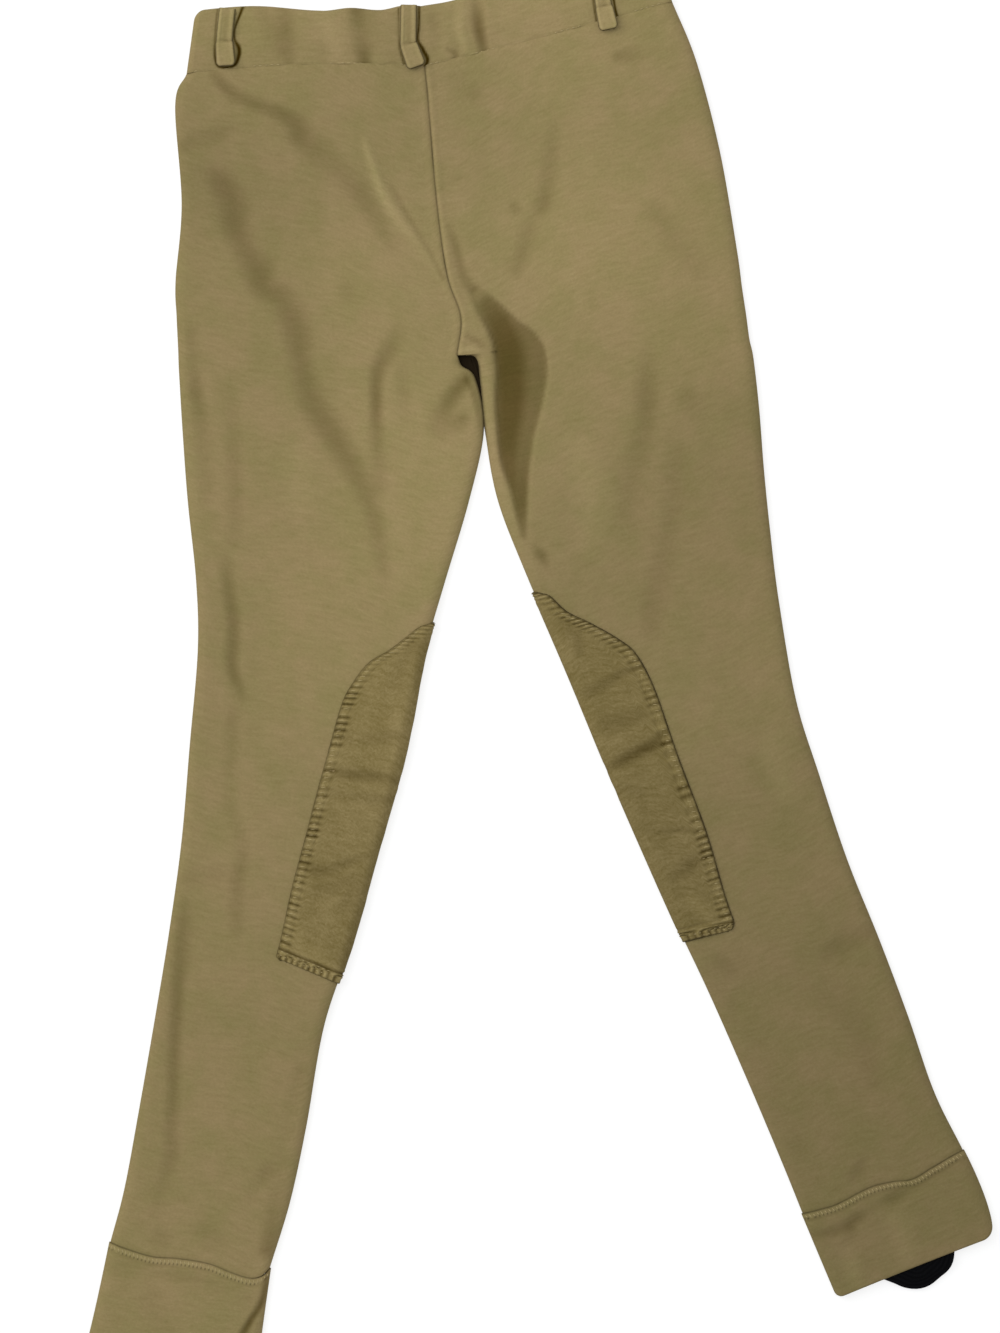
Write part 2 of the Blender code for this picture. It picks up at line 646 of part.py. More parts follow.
# --- elastic under the foot -----------------------------------------------------------------
def stirrup_strap(name, leg, tilt, finish):
    """A strap whose two arms go up inside the cuff and whose bend hangs out below the hem."""
    hem = leg.hem
    outer_end = Vector((hem.outer_x, hem.outer_y))
    inner_end = Vector((hem.inner_x, hem.inner_y))
    top_outer, top_inner, _ = leg.line("back", leg.last)
    down = ((outer_end + inner_end) - (top_outer + top_inner)).normalized()
    side = Vector((-down.y, down.x)) * leg.seam_side
    middle = (outer_end + inner_end) / 2
    centre_down = STRAP_SHOWS - STRAP_BEND - STRAP_WIDTH / 2
    sweep = 90.0 - STRAP_SPLAY
    stations = []
    for step in range(STRAP_ARC_STEPS + 1):
        angle = math.radians(mix(-sweep, sweep, step / STRAP_ARC_STEPS))
        stations.append((Vector((math.sin(angle), math.cos(angle))) * STRAP_BEND,
                         Vector((math.cos(angle), -math.sin(angle)))))
    first, first_run = stations[0]
    last, last_run = stations[-1]
    lengths = [STRAP_ARM * step / STRAP_ARM_STEPS for step in range(1, STRAP_ARM_STEPS + 1)]
    stations = ([(first - first_run * length, first_run) for length in reversed(lengths)] + stations
                + [(last + last_run * length, last_run) for length in lengths])
    lean = math.radians(tilt)
    outer = []
    inner = []
    for place, direction in stations:
        across = Vector((-direction.y, direction.x))
        top = []
        bottom = []
        for offset in range(STRAP_ACROSS_STEPS + 1):
            local = place + across * STRAP_WIDTH * (offset / STRAP_ACROSS_STEPS - 0.5)
            turned = Vector((local.x * math.cos(lean) - local.y * math.sin(lean),
                             local.x * math.sin(lean) + local.y * math.cos(lean)))
            below = turned.y + centre_down
            plan = middle + side * turned.x + down * below
            under = mix(CUFF_WALL + SEAM, 0.0, smooth((below - STRAP_DROPS_AT) / STRAP_DROPS_OVER))
            bottom.append(Vector((plan.x, plan.y, under)))
            top.append(Vector((plan.x, plan.y, under + STRAP)))
        outer.append(top)
        inner.append(bottom)
    return wall(name, outer, inner, finish)


# --- the garment ------------------------------------------------------------------------------
def build():
    for old in list(bpy.data.objects):
        bpy.data.objects.remove(old, do_unlink=True)
    knit = material("knit_cloth", (0.27, 0.21, 0.10), 0.85)
    suede = material("patch_cloth", (0.20, 0.16, 0.06), 0.9)
    elastic = material("elastic_strap", (0.01, 0.01, 0.011), 0.7)
    for leg, tilt in ((LEFT, 10.0), (RIGHT, -10.0)):
        panel(f"back_{leg.side}", leg, BACK, knit)
        panel(f"front_{leg.side}", leg, FRONT, knit)
        cuff(f"cuff_{leg.side}", leg, knit)
        knee_patch(f"knee_patch_{leg.side}", leg, suede)
        stirrup_strap(f"stirrup_strap_{leg.side}", leg, tilt, elastic)
    waistband("waistband_back", BACK, knit)
    waistband("waistband_front", BAND_FRONT, knit)
    for loop in BACK_LOOPS:
        back_loop(loop, knit)
    for loop in FRONT_LOOPS:
        front_loop(loop, knit)


build()
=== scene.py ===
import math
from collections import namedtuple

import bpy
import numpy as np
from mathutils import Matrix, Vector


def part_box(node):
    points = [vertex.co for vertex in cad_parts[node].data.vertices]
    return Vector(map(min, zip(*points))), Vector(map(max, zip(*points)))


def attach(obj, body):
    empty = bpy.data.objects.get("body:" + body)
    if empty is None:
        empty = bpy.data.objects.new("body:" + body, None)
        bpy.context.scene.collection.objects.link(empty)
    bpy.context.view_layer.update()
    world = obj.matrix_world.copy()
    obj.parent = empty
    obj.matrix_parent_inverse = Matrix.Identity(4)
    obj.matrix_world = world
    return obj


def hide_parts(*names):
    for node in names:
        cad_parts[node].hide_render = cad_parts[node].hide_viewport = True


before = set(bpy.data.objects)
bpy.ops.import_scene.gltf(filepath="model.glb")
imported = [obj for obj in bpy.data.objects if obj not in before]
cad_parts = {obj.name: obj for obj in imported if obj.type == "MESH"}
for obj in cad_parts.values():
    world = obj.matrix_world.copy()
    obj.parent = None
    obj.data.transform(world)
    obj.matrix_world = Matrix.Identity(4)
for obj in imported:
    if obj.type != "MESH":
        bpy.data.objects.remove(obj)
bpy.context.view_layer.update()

# %% [markdown]
# # Riding breeches, laid flat on their front
# A child's pull-on riding breeches in cotton and elastane knit lie on a pale surface with the back
# panels up. The imported CAD model gives each piece its size and place. This lesson gives the cloth
# its look: each panel is cut from a fine grid, shaped by the same table of sections as the CAD
# piece, creased, and then given the thickness of cloth.

MM = 0.001
bpy.ops.object.select_all(action="DESELECT")

# %% [markdown]
# ## The cut of the garment
# A leg is a flattened tube of cloth. Each row of a table is a line across it, from the outer edge
# to the inner edge, in millimetres. Two legs need two tables, because the legs lie differently.
# Below the crotch the inner edge is the inseam, where the tube turns over. Above it, the inner edge
# is the centre seam, where the two halves of the garment are sewn together.

# %% Sizes, in millimetres
FRAME_X = 0.1            # the tables' middle, as it lies in the CAD frame
FRAME_Y = 2.6
KNIT = 1.2               # thicknesses of the cloths
PATCH_CLOTH = 1.0
CASING_SKIN = 1.8
CUFF_WALL = 1.6
STRAP = 1.2
SEAM = 0.3               # the gap between two cloths that lie on each other
BACK_TOP = 6.0           # the top of a leg, and the height at which its halves meet
FOLD_LINE = 2.0
BACK_ROUND = 7.0         # how far in from an edge each half turns over
FRONT_ROUND = 2.5
CASING_TOP = 8.8         # the same three for the waistband
CASING_LINE = 3.6
CASING_ROUND = 4.0
CUFF_STEP = 0.7          # how much wider the cuff is than the leg, at each side
PATCH_LIFT = PATCH_CLOTH + SEAM
FRONT_LOOP_LIFT = 1.3
LOOP_WIDTH = 11.0
print("knit:", KNIT, "mm thick, a leg:", BACK_TOP, "mm high, the waistband:", CASING_TOP, "mm")

# %% The tables of the two legs
Section = namedtuple("Section", "place outer_x outer_y inner_x inner_y bow")
CROTCH = 5              # the section, counted from 0, at which the legs part

LEFT_SECTIONS = (
    Section("waist seam", -204.5, 335.0, -67.5, 339.0, 3.0),
    Section("high hip", -211.2, 317.0, -65.5, 320.0, 0.0),
    Section("hip", -207.5, 260.0, -60.5, 261.0, 0.0),
    Section("seat", -211.0, 215.5, -54.5, 218.5, 0.0),
    Section("low seat", -210.4, 195.0, -46.6, 194.5, 0.0),
    Section("crotch", -209.5, 176.0, -48.8, 172.4, 0.0),
    Section("fork", -209.2, 167.0, -45.9, 166.8, 0.0),
    Section("low fork", -208.6, 156.0, -37.9, 159.0, 0.0),
    Section("thigh top", -207.0, 129.5, -33.2, 129.5, 0.0),
    Section("thigh", -204.0, 89.0, -42.0, 88.0, 0.0),
    Section("low thigh", -199.2, 43.0, -56.0, 41.0, 0.0),
    Section("knee top", -198.2, 3.0, -67.6, -0.5, 0.0),
    Section("knee", -202.8, -51.5, -79.0, -57.5, 0.0),
    Section("below knee", -207.5, -106.5, -94.7, -113.5, 0.0),
    Section("calf top", -214.5, -158.0, -109.2, -165.5, 0.0),
    Section("calf", -222.5, -207.0, -125.2, -213.5, 0.0),
    Section("low calf", -232.5, -264.5, -135.5, -271.5, 0.0),
    Section("ankle", -240.5, -307.5, -145.0, -315.5, -1.0),
    Section("cuff seam", -248.5, -338.0, -156.5, -352.5, -3.0),
)
RIGHT_SECTIONS = (
    Section("waist seam", 75.0, 376.5, -67.5, 339.0, -1.0),
    Section("high hip", 89.0, 342.0, -65.5, 320.0, 0.0),
    Section("hip", 102.5, 290.5, -60.5, 261.0, 0.0),
    Section("seat", 112.3, 234.0, -54.5, 218.5, 0.0),
    Section("low seat", 115.3, 212.0, -46.6, 194.5, 0.0),
    Section("crotch", 117.7, 196.0, -48.8, 172.4, 0.0),
    Section("fork", 119.6, 182.0, -38.2, 171.2, 0.0),
    Section("low fork", 122.0, 170.5, -35.7, 157.0, 0.0),
    Section("thigh top", 125.3, 141.0, -32.4, 125.5, 0.0),
    Section("thigh", 128.0, 106.5, -25.5, 89.0, 0.0),
    Section("low thigh", 131.5, 72.0, -10.0, 48.5, 0.0),
    Section("knee top", 136.5, 31.5, 12.3, -3.5, 0.0),
    Section("knee", 146.5, -26.0, 35.0, -58.0, 0.0),
    Section("below knee", 159.8, -69.0, 55.2, -105.0, 0.0),
    Section("calf top", 176.0, -118.0, 76.7, -153.5, 0.0),
    Section("calf", 194.5, -164.0, 96.5, -195.5, 0.0),
    Section("low calf", 211.0, -208.0, 118.5, -245.5, 0.0),
    Section("ankle", 226.0, -251.5, 138.5, -293.0, 0.0),
    Section("cuff seam", 242.5, -285.0, 150.0, -321.5, 0.0),
)
# The hem of each cuff, the radius of its corners, and how far the cuff bellies out at its outer side.
Hem = namedtuple("Hem", "outer_x outer_y inner_x inner_y bow outer_corner inner_corner belly")
LEFT_HEM = Hem(-260.9, -395.5, -164.6, -409.5, -1.5, 5.0, 4.0, 0.5)
RIGHT_HEM = Hem(261.5, -334.0, 170.5, -370.0, 0.5, 9.0, 4.0, 2.2)

# How far each cuff seam dips below its straight line: a share of the way in from the outer edge,
# and millimetres.
CUFF_DIPS = {
    "left": ((0.0, 0.0), (0.10, 0.9), (0.27, 1.8), (0.43, 0.0), (0.62, 0.3), (0.776, 4.4), (0.88, 6.4),
             (0.95, 4.8), (1.0, 0.4)),
    "right": ((0.0, 0.0), (0.05, 0.2), (0.21, 2.9), (0.32, 4.8), (0.44, 1.8), (0.58, 0.0), (0.79, 2.1),
              (0.90, 1.2), (1.0, 0.0)),
}

# The front panels share a seam of their own, from the waist to a crotch point that is lower.
FRONT_SEAM = (
    (-67.5, 338.5), (-61.0, 302.0), (-54.0, 262.0), (-48.5, 225.0), (-44.5, 196.0), (-41.0, 172.0),
)
FRONT_FORK_LEFT = ((-39.0, 165.0), (-37.2, 157.5))
FRONT_FORK_RIGHT = ((-38.2, 163.0), (-35.8, 150.0))

# The knee patches: how far each comes in over the panel, at a Y on the inner edge.
Patch = namedtuple("Patch", "edge_y reach")
LEFT_PATCH = (
    Patch(15.0, 8.2),
    Patch(3.0, 20.0),
    Patch(-5.0, 30.5),
    Patch(-16.0, 37.0),
    Patch(-32.0, 42.0),
    Patch(-69.0, 44.0),
    Patch(-112.0, 43.0),
    Patch(-150.0, 42.5),
    Patch(-189.0, 40.0),
)
RIGHT_PATCH = (
    Patch(32.0, 8.2),
    Patch(22.0, 13.5),
    Patch(12.5, 23.5),
    Patch(0.0, 34.5),
    Patch(-11.0, 40.5),
    Patch(-32.0, 42.5),
    Patch(-69.0, 40.0),
    Patch(-113.0, 37.5),
    Patch(-147.0, 32.5),
    Patch(-165.0, 30.5),
)
# How much longer a patch is at the inner edge, and over how many rows its lower end slants.
PATCH_SLANTS = {"left": 12.0, "right": -2.0}
PATCH_TAILS = 3.0

print("sections:", len(LEFT_SECTIONS), "left and", len(RIGHT_SECTIONS), "right")

# %% [markdown]
# ## Curves that pass through a table
# A seam cut from a few measured points still has to be a smooth line. A Catmull-Rom curve passes
# through each row of a table and turns evenly between them. All the helpers here take whole arrays,
# so that a panel of thirty thousand points is worked out at once.

# %% Curve helpers
def smooth(share):
    """0 below 0, 1 above 1, and an even slope between."""
    share = np.clip(share, 0.0, 1.0)
    return share * share * (3.0 - 2.0 * share)


def bell(off, reach):
    """1 on a line, falling evenly to 0 at a distance of reach."""
    return smooth(1.0 - np.abs(off) / reach)


def dome(share):
    """Height of a quarter of a circle, at a share of the way in from its edge."""
    return np.sqrt(1.0 - (1.0 - np.clip(share, 0.0, 1.0)) ** 2)


def through(values, at):
    """Smooth curve through the rows of a table, read at fractional row numbers."""
    values = np.asarray(values, float)
    before = 2.0 * values[:1] - values[1:2]
    after = 2.0 * values[-1:] - values[-2:-1]
    padded = np.concatenate([before, values, after])
    at = np.asarray(at, float)
    low = np.clip(np.floor(at), 0, len(values) - 2).astype(int)
    t = at - low
    if values.ndim > 1:
        t = t[..., None]
    a, b, c, d = (padded[low + k] for k in range(4))
    return 0.5 * (2.0 * b + (c - a) * t + (2.0 * a - 5.0 * b + 4.0 * c - d) * t ** 2
                  + (3.0 * b - a - 3.0 * c + d) * t ** 3)


def spaced(count, first, last, power=2.0):
    """Numbers from 0 to 1 that are closer together at the ends: first and last say how much."""
    t = np.linspace(0.0, 1.0, count)
    weight = 1.0 / (1.0 + first * (1.0 - t) ** (4 * power) + last * t ** (4 * power))
    total = np.concatenate([[0.0], np.cumsum((weight[1:] + weight[:-1]) / 2.0)])
    return total / total[-1]


print("halfway through the left leg's table:", through([row[1:3] for row in LEFT_SECTIONS], 8.0))

# %% [markdown]
# ## Creases
# Cloth that has been worn and washed never lies dead flat. Soft troughs run from the hip to the
# knee where the leg bends, and a deep fold opens at the inner thigh. Each crease is given as a line
# of bends: a place, the reach to each side in millimetres, the depth, and how much shade is painted
# into the colour down in it. A negative depth is a ridge, and a negative shade paints light onto it.
# Most of the darkness of the deep fold is this painted shade. soft is 1 for a trough with an even
# slope, and less for one with a flat bottom and steep sides.

# %% The creases of the two back panels
Bend = namedtuple("Bend", "x y reach depth shade soft", defaults=(1.0,))


def lines_of_bends(table):
    """Makes each plain row of a table a bend. A row without its last number has an even slope."""
    return {name: [Bend(*row) for row in rows] for name, rows in table.items()}


LEFT_CREASES = lines_of_bends({
    "from the loop to the hip": (
        (-188.6, 334.1, 5.0, 0.345, 0.36), (-182.8, 327.2, 6.0, 0.575, 0.6),
        (-173.6, 320.3, 7.0, 0.69, 0.53), (-159.8, 315.1, 7.0, 0.69, 0.56),
        (-148.3, 310.5, 8.0, 1.035, 0.66), (-141.4, 305.3, 10.0, 1.38, 0.67),
        (-137.4, 298.4, 12.0, 1.38, 0.61), (-127.6, 289.2, 12.0, 1.035, 0.35),
        (-112.7, 275.4, 11.0, 0.69, 0.31), (-103.5, 265.1, 11.0, 0.805, 0.42),
        (-94.9, 251.3, 10.0, 0.575, 0.34), (-86.2, 235.2, 8.0, 0.23, 0.22),
    ),
    "hip, outer": (
        (-207.0, 292.7, 7.0, 0.3, 0.34), (-198.9, 295.5, 8.0, 0.6, 0.22),
        (-188.6, 298.4, 8.0, 0.5, 0.28), (-177.1, 303.0, 8.0, 0.2, 0.17),
    ),
    "hip to knee": (
        (-194.3, 277.7, 8.0, 0.46, 0.18), (-184.6, 272.0, 12.0, 1.265, 0.6),
        (-177.1, 259.3, 14.0, 1.495, 0.59), (-175.9, 246.7, 13.0, 1.38, 0.64),
        (-170.2, 234.0, 11.0, 1.035, 0.51), (-162.1, 220.2, 14.0, 1.495, 0.68),
        (-159.8, 212.2, 12.0, 1.38, 0.65), (-148.3, 204.1, 13.0, 1.15, 0.52),
        (-140.9, 186.9, 13.0, 1.265, 0.6), (-137.4, 166.2, 11.0, 1.035, 0.53),
        (-131.1, 145.5, 13.0, 1.38, 0.55), (-121.9, 130.5, 13.0, 1.265, 0.65),
        (-110.4, 111.0, 12.0, 0.92, 0.6), (-100.0, 90.3, 10.0, 0.575, 0.48),
        (-93.1, 63.2, 8.0, 0.345, 0.39), (-89.7, 37.4, 6.0, 0.115, 0.05),
    ),
    "inner thigh": (
        (-82.8, 185.7, 8.0, 0.36, 0.17), (-86.8, 175.4, 9.0, 0.96, 0.43),
        (-92.6, 166.2, 8.0, 1.2, 0.63), (-94.9, 157.0, 6.6, 1.08, 0.75),
        (-94.9, 144.3, 6.1, 1.08, 0.82), (-94.9, 132.8, 6.6, 0.72, 0.64),
        (-94.3, 116.7, 7.6, 0.36, 0.38), (-93.1, 97.2, 8.6, 0.12, 0.28),
    ),
    "inner thigh, faint": (
        (-79.3, 162.7, 7.5, 0.3, 0.16), (-78.8, 150.1, 6.5, 0.4, 0.2),
        (-78.2, 137.4, 6.5, 0.2, 0.09),
    ),
    "outer thigh, high": (
        (-201.2, 185.7, 6.2, 0.2, 0.24), (-200.1, 166.2, 6.2, 0.3, 0.2),
        (-198.4, 151.2, 7.2, 0.7, 0.5), (-197.2, 143.2, 7.2, 0.5, 0.34),
        (-194.3, 123.6, 7.2, 0.3, 0.21), (-192.0, 89.1, 7.2, 0.2, 0.11),
    ),
    "outer thigh, second": (
        (-178.2, 159.3, 8.0, 0.2, 0.05), (-177.7, 129.4, 8.0, 0.3, 0.21),
        (-175.9, 98.3, 8.0, 0.3, 0.27), (-177.1, 66.1, 8.0, 0.1, 0.21),
    ),
    "outer thigh, low": (
        (-181.1, 54.6, 7.2, 0.36, 0.22), (-180.0, 38.5, 6.7, 0.84, 0.52),
        (-177.1, 21.3, 6.7, 0.96, 0.63), (-177.1, 8.6, 6.7, 0.96, 0.59),
        (-177.7, -7.5, 6.2, 0.96, 0.66), (-173.6, -20.1, 5.2, 0.48, 0.52),
        (-170.2, -25.9, 4.2, 0.12, 0.11),
    ),
    "beside the knee": (
        (-177.7, -34.5, 6.0, 0.3, 0.28), (-178.2, -60.4, 7.0, 0.3, 0.13),
        (-179.4, -83.4, 7.0, 0.2, 0.12), (-171.9, -112.1, 7.0, 0.2, 0.24),
        (-174.8, -131.7, 8.0, 0.5, 0.38), (-174.8, -158.1, 8.0, 0.2, 0.2),
    ),
    "behind the knee": (
        (-207.6, -129.4, 8.0, 0.3, 0.18), (-193.2, -127.6, 9.0, 0.4, 0.2),
        (-173.6, -124.8, 8.0, 0.2, 0.04),
    ),
    "calf": (
        (-205.8, -143.8, 7.4, 0.3, 0.24), (-206.4, -155.8, 9.0, 0.6, 0.42),
        (-207.6, -175.4, 8.4, 0.7, 0.5), (-209.3, -198.4, 6.9, 0.8, 0.61),
        (-211.0, -227.1, 6.4, 0.8, 0.54), (-211.6, -253.0, 6.4, 0.7, 0.49),
        (-212.7, -273.1, 7.4, 0.7, 0.39), (-212.7, -288.1, 8.0, 0.7, 0.37),
        (-217.3, -303.0, 7.4, 0.4, 0.24), (-221.9, -322.0, 7.4, 0.1, 0.11),
    ),
    "calf, inner edge": (
        (-136.3, -228.3, 7.0, 0.3, 0.01), (-139.1, -241.5, 7.0, 0.4, 0.19),
        (-146.0, -273.1, 8.0, 0.3, 0.08), (-152.9, -313.4, 8.0, 0.3, 0.18),
        (-157.5, -342.1, 8.0, 0.3, 0.64),
    ),
    "calf, inner": (
        (-157.5, -296.1, 7.0, 0.5, 0.35), (-163.3, -305.3, 7.0, 0.4, 0.16),
        (-167.9, -313.4, 6.0, 0.1, 0.08),
    ),
    "above the cuff": (
        (-219.6, -334.1, 8.0, 0.5, 0.22), (-216.2, -337.5, 8.0, 0.4, 0.22),
    ),
    "above the cuff, inner": (
        (-193.2, -331.8, 10.0, 0.5, 0.18), (-188.6, -336.4, 10.0, 0.4, 0.2),
    ),
    "ridge at the seat": (
        (-102.3, 297.3, 3.0, -0.3, -0.22), (-100.0, 289.2, 4.0, -0.9, -0.47),
        (-96.0, 277.7, 4.5, -1.2, -0.56), (-91.4, 265.1, 5.5, -1.3, -0.58),
        (-82.8, 251.3, 6.0, -1.1, -0.38), (-72.4, 238.6, 6.0, -0.8, -0.22),
        (-60.9, 223.7, 6.0, -0.5, -0.13), (-52.9, 209.9, 5.0, -0.2, -0.04),
    ),
    "beside the ridge": (
        (-86.8, 270.8, 2.0, 0.2, 0.2), (-81.6, 261.0, 2.6, 0.5, 0.4),
        (-73.6, 246.7, 2.6, 0.5, 0.41), (-64.4, 231.7, 2.6, 0.5, 0.4),
        (-56.9, 216.8, 2.4, 0.3, 0.55),
    ),
    "spot at the seat": (
        (-111.5, 209.9, 8.0, 0.3, 0.22), (-109.2, 205.3, 7.0, 0.2, 0.12),
    ),
    "by the crotch": (
        (-42.5, 159.8, 7.0, 0.6, 0.69), (-47.1, 154.1, 8.0, 0.8, 0.86),
        (-54.0, 144.3, 9.0, 0.7, 0.67), (-60.9, 132.8, 9.0, 0.3, 0.25),
    ),
    "by the crotch, low": (
        (-46.0, 135.1, 8.0, 0.3, 0.55), (-58.6, 128.2, 9.0, 0.2, 0.17),
    ),
    "thigh, light side": (
        (-141.4, 112.1, 16.0, 0.0, -0.16), (-139.1, 89.1, 16.0, 0.0, -0.16),
    ),
    "edge by the gap": (
        (-43.7, 159.3, 3.2, 0.0, 0.4), (-39.7, 151.2, 3.4, 0.0, 0.52),
        (-36.8, 140.9, 3.2, 0.0, 0.52), (-35.1, 128.2, 2.6, 0.0, 0.34),
    ),
})
RIGHT_CREASES = lines_of_bends({
    "deep fold": (
        (-37.4, 208.1, 5.5, 0.9, 0.38, 0.6), (-32.2, 201.2, 7.6, 1.4, 0.63, 0.36),
        (-25.3, 192.6, 9.0, 1.7, 0.81, 0.24), (-18.4, 182.8, 11.4, 1.8, 0.9, 0.19),
        (-13.2, 174.2, 15.4, 1.8, 0.92, 0.16), (-11.5, 163.3, 16.0, 1.8, 0.92, 0.17),
        (-13.2, 146.6, 14.9, 1.8, 0.9, 0.18), (-14.9, 127.6, 11.9, 1.7, 0.9, 0.22),
        (-15.2, 112.1, 10.0, 1.6, 0.96, 0.3), (-13.2, 96.6, 7.0, 1.3, 1.12, 0.5),
        (-11.8, 81.6, 5.0, 0.9, 1.06, 0.7), (-10.3, 67.8, 3.2, 0.5, 0.56),
    ),
    "bottom of the fold": (
        (-31.0, 201.2, 7.0, 0.6, 0.38, 0.8), (-24.7, 191.5, 9.0, 1.0, 0.52, 0.7),
        (-20.1, 180.5, 12.5, 1.2, 0.56, 0.75), (-18.4, 170.8, 14.0, 1.2, 0.56, 0.75),
        (-17.5, 156.4, 13.2, 1.2, 0.56, 0.75), (-17.8, 142.6, 11.8, 1.1, 0.56, 0.75),
        (-19.0, 125.3, 9.6, 0.9, 0.49, 0.8), (-19.0, 113.3, 7.0, 0.5, 0.36, 0.8),
        (-17.2, 98.3, 4.5, 0.2, 0.16),
    ),
    "start of the fold": (
        (-52.9, 246.7, 3.0, 0.2, 0.22), (-50.0, 236.9, 4.5, 0.6, 0.56),
        (-47.7, 228.3, 4.5, 0.6, 0.56), (-44.8, 217.9, 5.0, 0.8, 0.56),
        (-40.2, 211.0, 6.0, 1.0, 0.52),
    ),
    "hook at the crotch": (
        (-43.1, 183.4, 2.2, 0.3, 0.31), (-38.5, 181.1, 2.8, 0.7, 0.52),
        (-33.9, 178.2, 3.2, 0.6, 0.4), (-31.0, 174.8, 3.4, 0.2, 0.04),
    ),
    "rim over the gap": (
        (-47.7, 174.8, 1.8, -0.2, -0.28), (-43.1, 175.9, 2.4, -0.3, -0.45),
        (-37.4, 175.4, 2.2, -0.3, -0.39),
    ),
    "light edge by the gap": (
        (-33.3, 168.5, 3.0, -0.1, 0.02), (-31.6, 152.4, 3.0, -0.1, -0.04),
        (-30.8, 135.1, 3.0, -0.1, -0.09), (-28.7, 116.7, 2.5, -0.1, -0.07),
    ),
    "below the fold": (
        (-5.2, 63.2, 3.0, 0.2, 0.12), (-0.6, 58.1, 5.5, 0.8, 0.7), (2.3, 52.3, 4.0, 0.3, 0.38),
    ),
    "seat, high": (
        (6.9, 304.2, 7.0, 0.2, 0.15), (5.8, 286.9, 8.5, 0.6, 0.31), (3.4, 269.7, 8.5, 0.7, 0.33),
        (1.7, 259.9, 8.0, 0.8, 0.55), (-3.4, 252.4, 7.0, 0.4, 0.19), (-6.9, 244.4, 8.5, 0.6, 0.3),
        (-10.3, 231.7, 8.5, 0.6, 0.39), (-14.4, 221.4, 7.0, 0.2, 0.32),
    ),
    "seat, spot": (
        (-16.1, 258.2, 5.0, 0.4, 0.38), (-14.4, 255.9, 5.0, 0.3, 0.4),
    ),
    "under the waist seam": (
        (-46.0, 328.3, 11.0, 0.4, 0.12), (-39.1, 323.7, 9.0, 0.2, 0.31),
    ),
    "under the right loop": (
        (43.7, 344.4, 6.0, 0.3, 0.5), (52.9, 345.0, 8.0, 0.5, 0.26), (59.8, 344.4, 6.0, 0.2, 0.11),
    ),
    "crow's foot": (
        (-60.4, 266.2, 1.8, 0.2, 0.11), (-54.6, 270.2, 2.2, 0.5, 0.11),
        (-46.0, 276.0, 2.0, 0.3, 0.28),
    ),
    "thigh": (
        (63.2, 177.7, 8.0, 0.2, 0.0), (62.1, 166.2, 10.0, 0.6, 0.21),
        (60.9, 148.9, 11.0, 0.9, 0.47), (60.4, 132.8, 10.0, 0.8, 0.36),
        (56.3, 116.7, 12.0, 0.6, 0.25), (51.7, 94.9, 13.0, 0.6, 0.18),
        (50.6, 71.9, 12.0, 0.3, 0.08),
    ),
    "thigh, second": (
        (77.0, 123.6, 10.0, 0.2, 0.04), (78.2, 106.4, 11.0, 0.5, 0.17),
        (75.9, 83.4, 11.0, 0.5, 0.2), (70.1, 54.6, 11.0, 0.4, 0.21), (65.0, 31.6, 12.0, 0.5, 0.29),
        (62.1, 14.4, 10.0, 0.2, 0.25),
    ),
    "outer thigh": (
        (85.1, 146.6, 12.0, 0.3, 0.21), (100.0, 129.4, 12.0, 0.4, -0.11),
        (110.4, 106.4, 11.0, 0.2, -0.02),
    ),
    "outer hip": (
        (65.5, 254.7, 12.0, 0.3, 0.22), (77.0, 238.6, 14.0, 0.5, 0.16),
        (90.8, 222.5, 12.0, 0.3, 0.13),
    ),
    "calf": (
        (163.3, -173.1, 6.0, 0.3, 0.18, 0.8), (169.0, -169.6, 9.0, 0.7, 0.29, 0.7),
        (178.2, -164.4, 9.0, 0.6, 0.19, 0.7), (187.4, -160.4, 7.0, 0.4, 0.24, 0.8),
    ),
    "calf, middle": (
        (148.3, -189.7, 16.0, 0.4, 0.03), (169.0, -198.4, 16.0, 0.6, 0.16),
        (185.1, -221.4, 14.0, 0.4, 0.18), (189.7, -244.4, 10.0, 0.2, 0.17),
    ),
    "calf, inner": (
        (103.5, -176.5, 8.0, 0.4, 0.32), (108.1, -181.1, 8.0, 0.3, 0.27),
    ),
    "calf, inner, low": (
        (110.4, -201.2, 6.0, 0.3, 0.12), (113.8, -206.4, 5.0, 0.2, -0.07),
    ),
    "above the cuff": (
        (187.4, -290.4, 5.0, 0.3, -0.01), (184.0, -295.0, 7.0, 0.8, 0.27),
        (179.4, -300.7, 6.0, 0.5, 0.29),
    ),
    "above the cuff, inner": (
        (148.3, -278.9, 7.0, 0.3, 0.06), (146.0, -284.6, 7.0, 0.2, 0.1),
    ),
    "thigh, light side": (
        (21.8, 117.9, 16.0, 0.0, -0.18), (28.7, 92.0, 18.0, 0.0, -0.29),
        (26.4, 66.1, 16.0, 0.0, -0.16),
    ),
    "calf, light side": (
        (131.1, -51.7, 14.0, 0.0, -0.2), (139.7, -77.6, 14.0, 0.0, -0.22),
    ),
})

print("creases:", len(LEFT_CREASES), "left and", len(RIGHT_CREASES), "right")

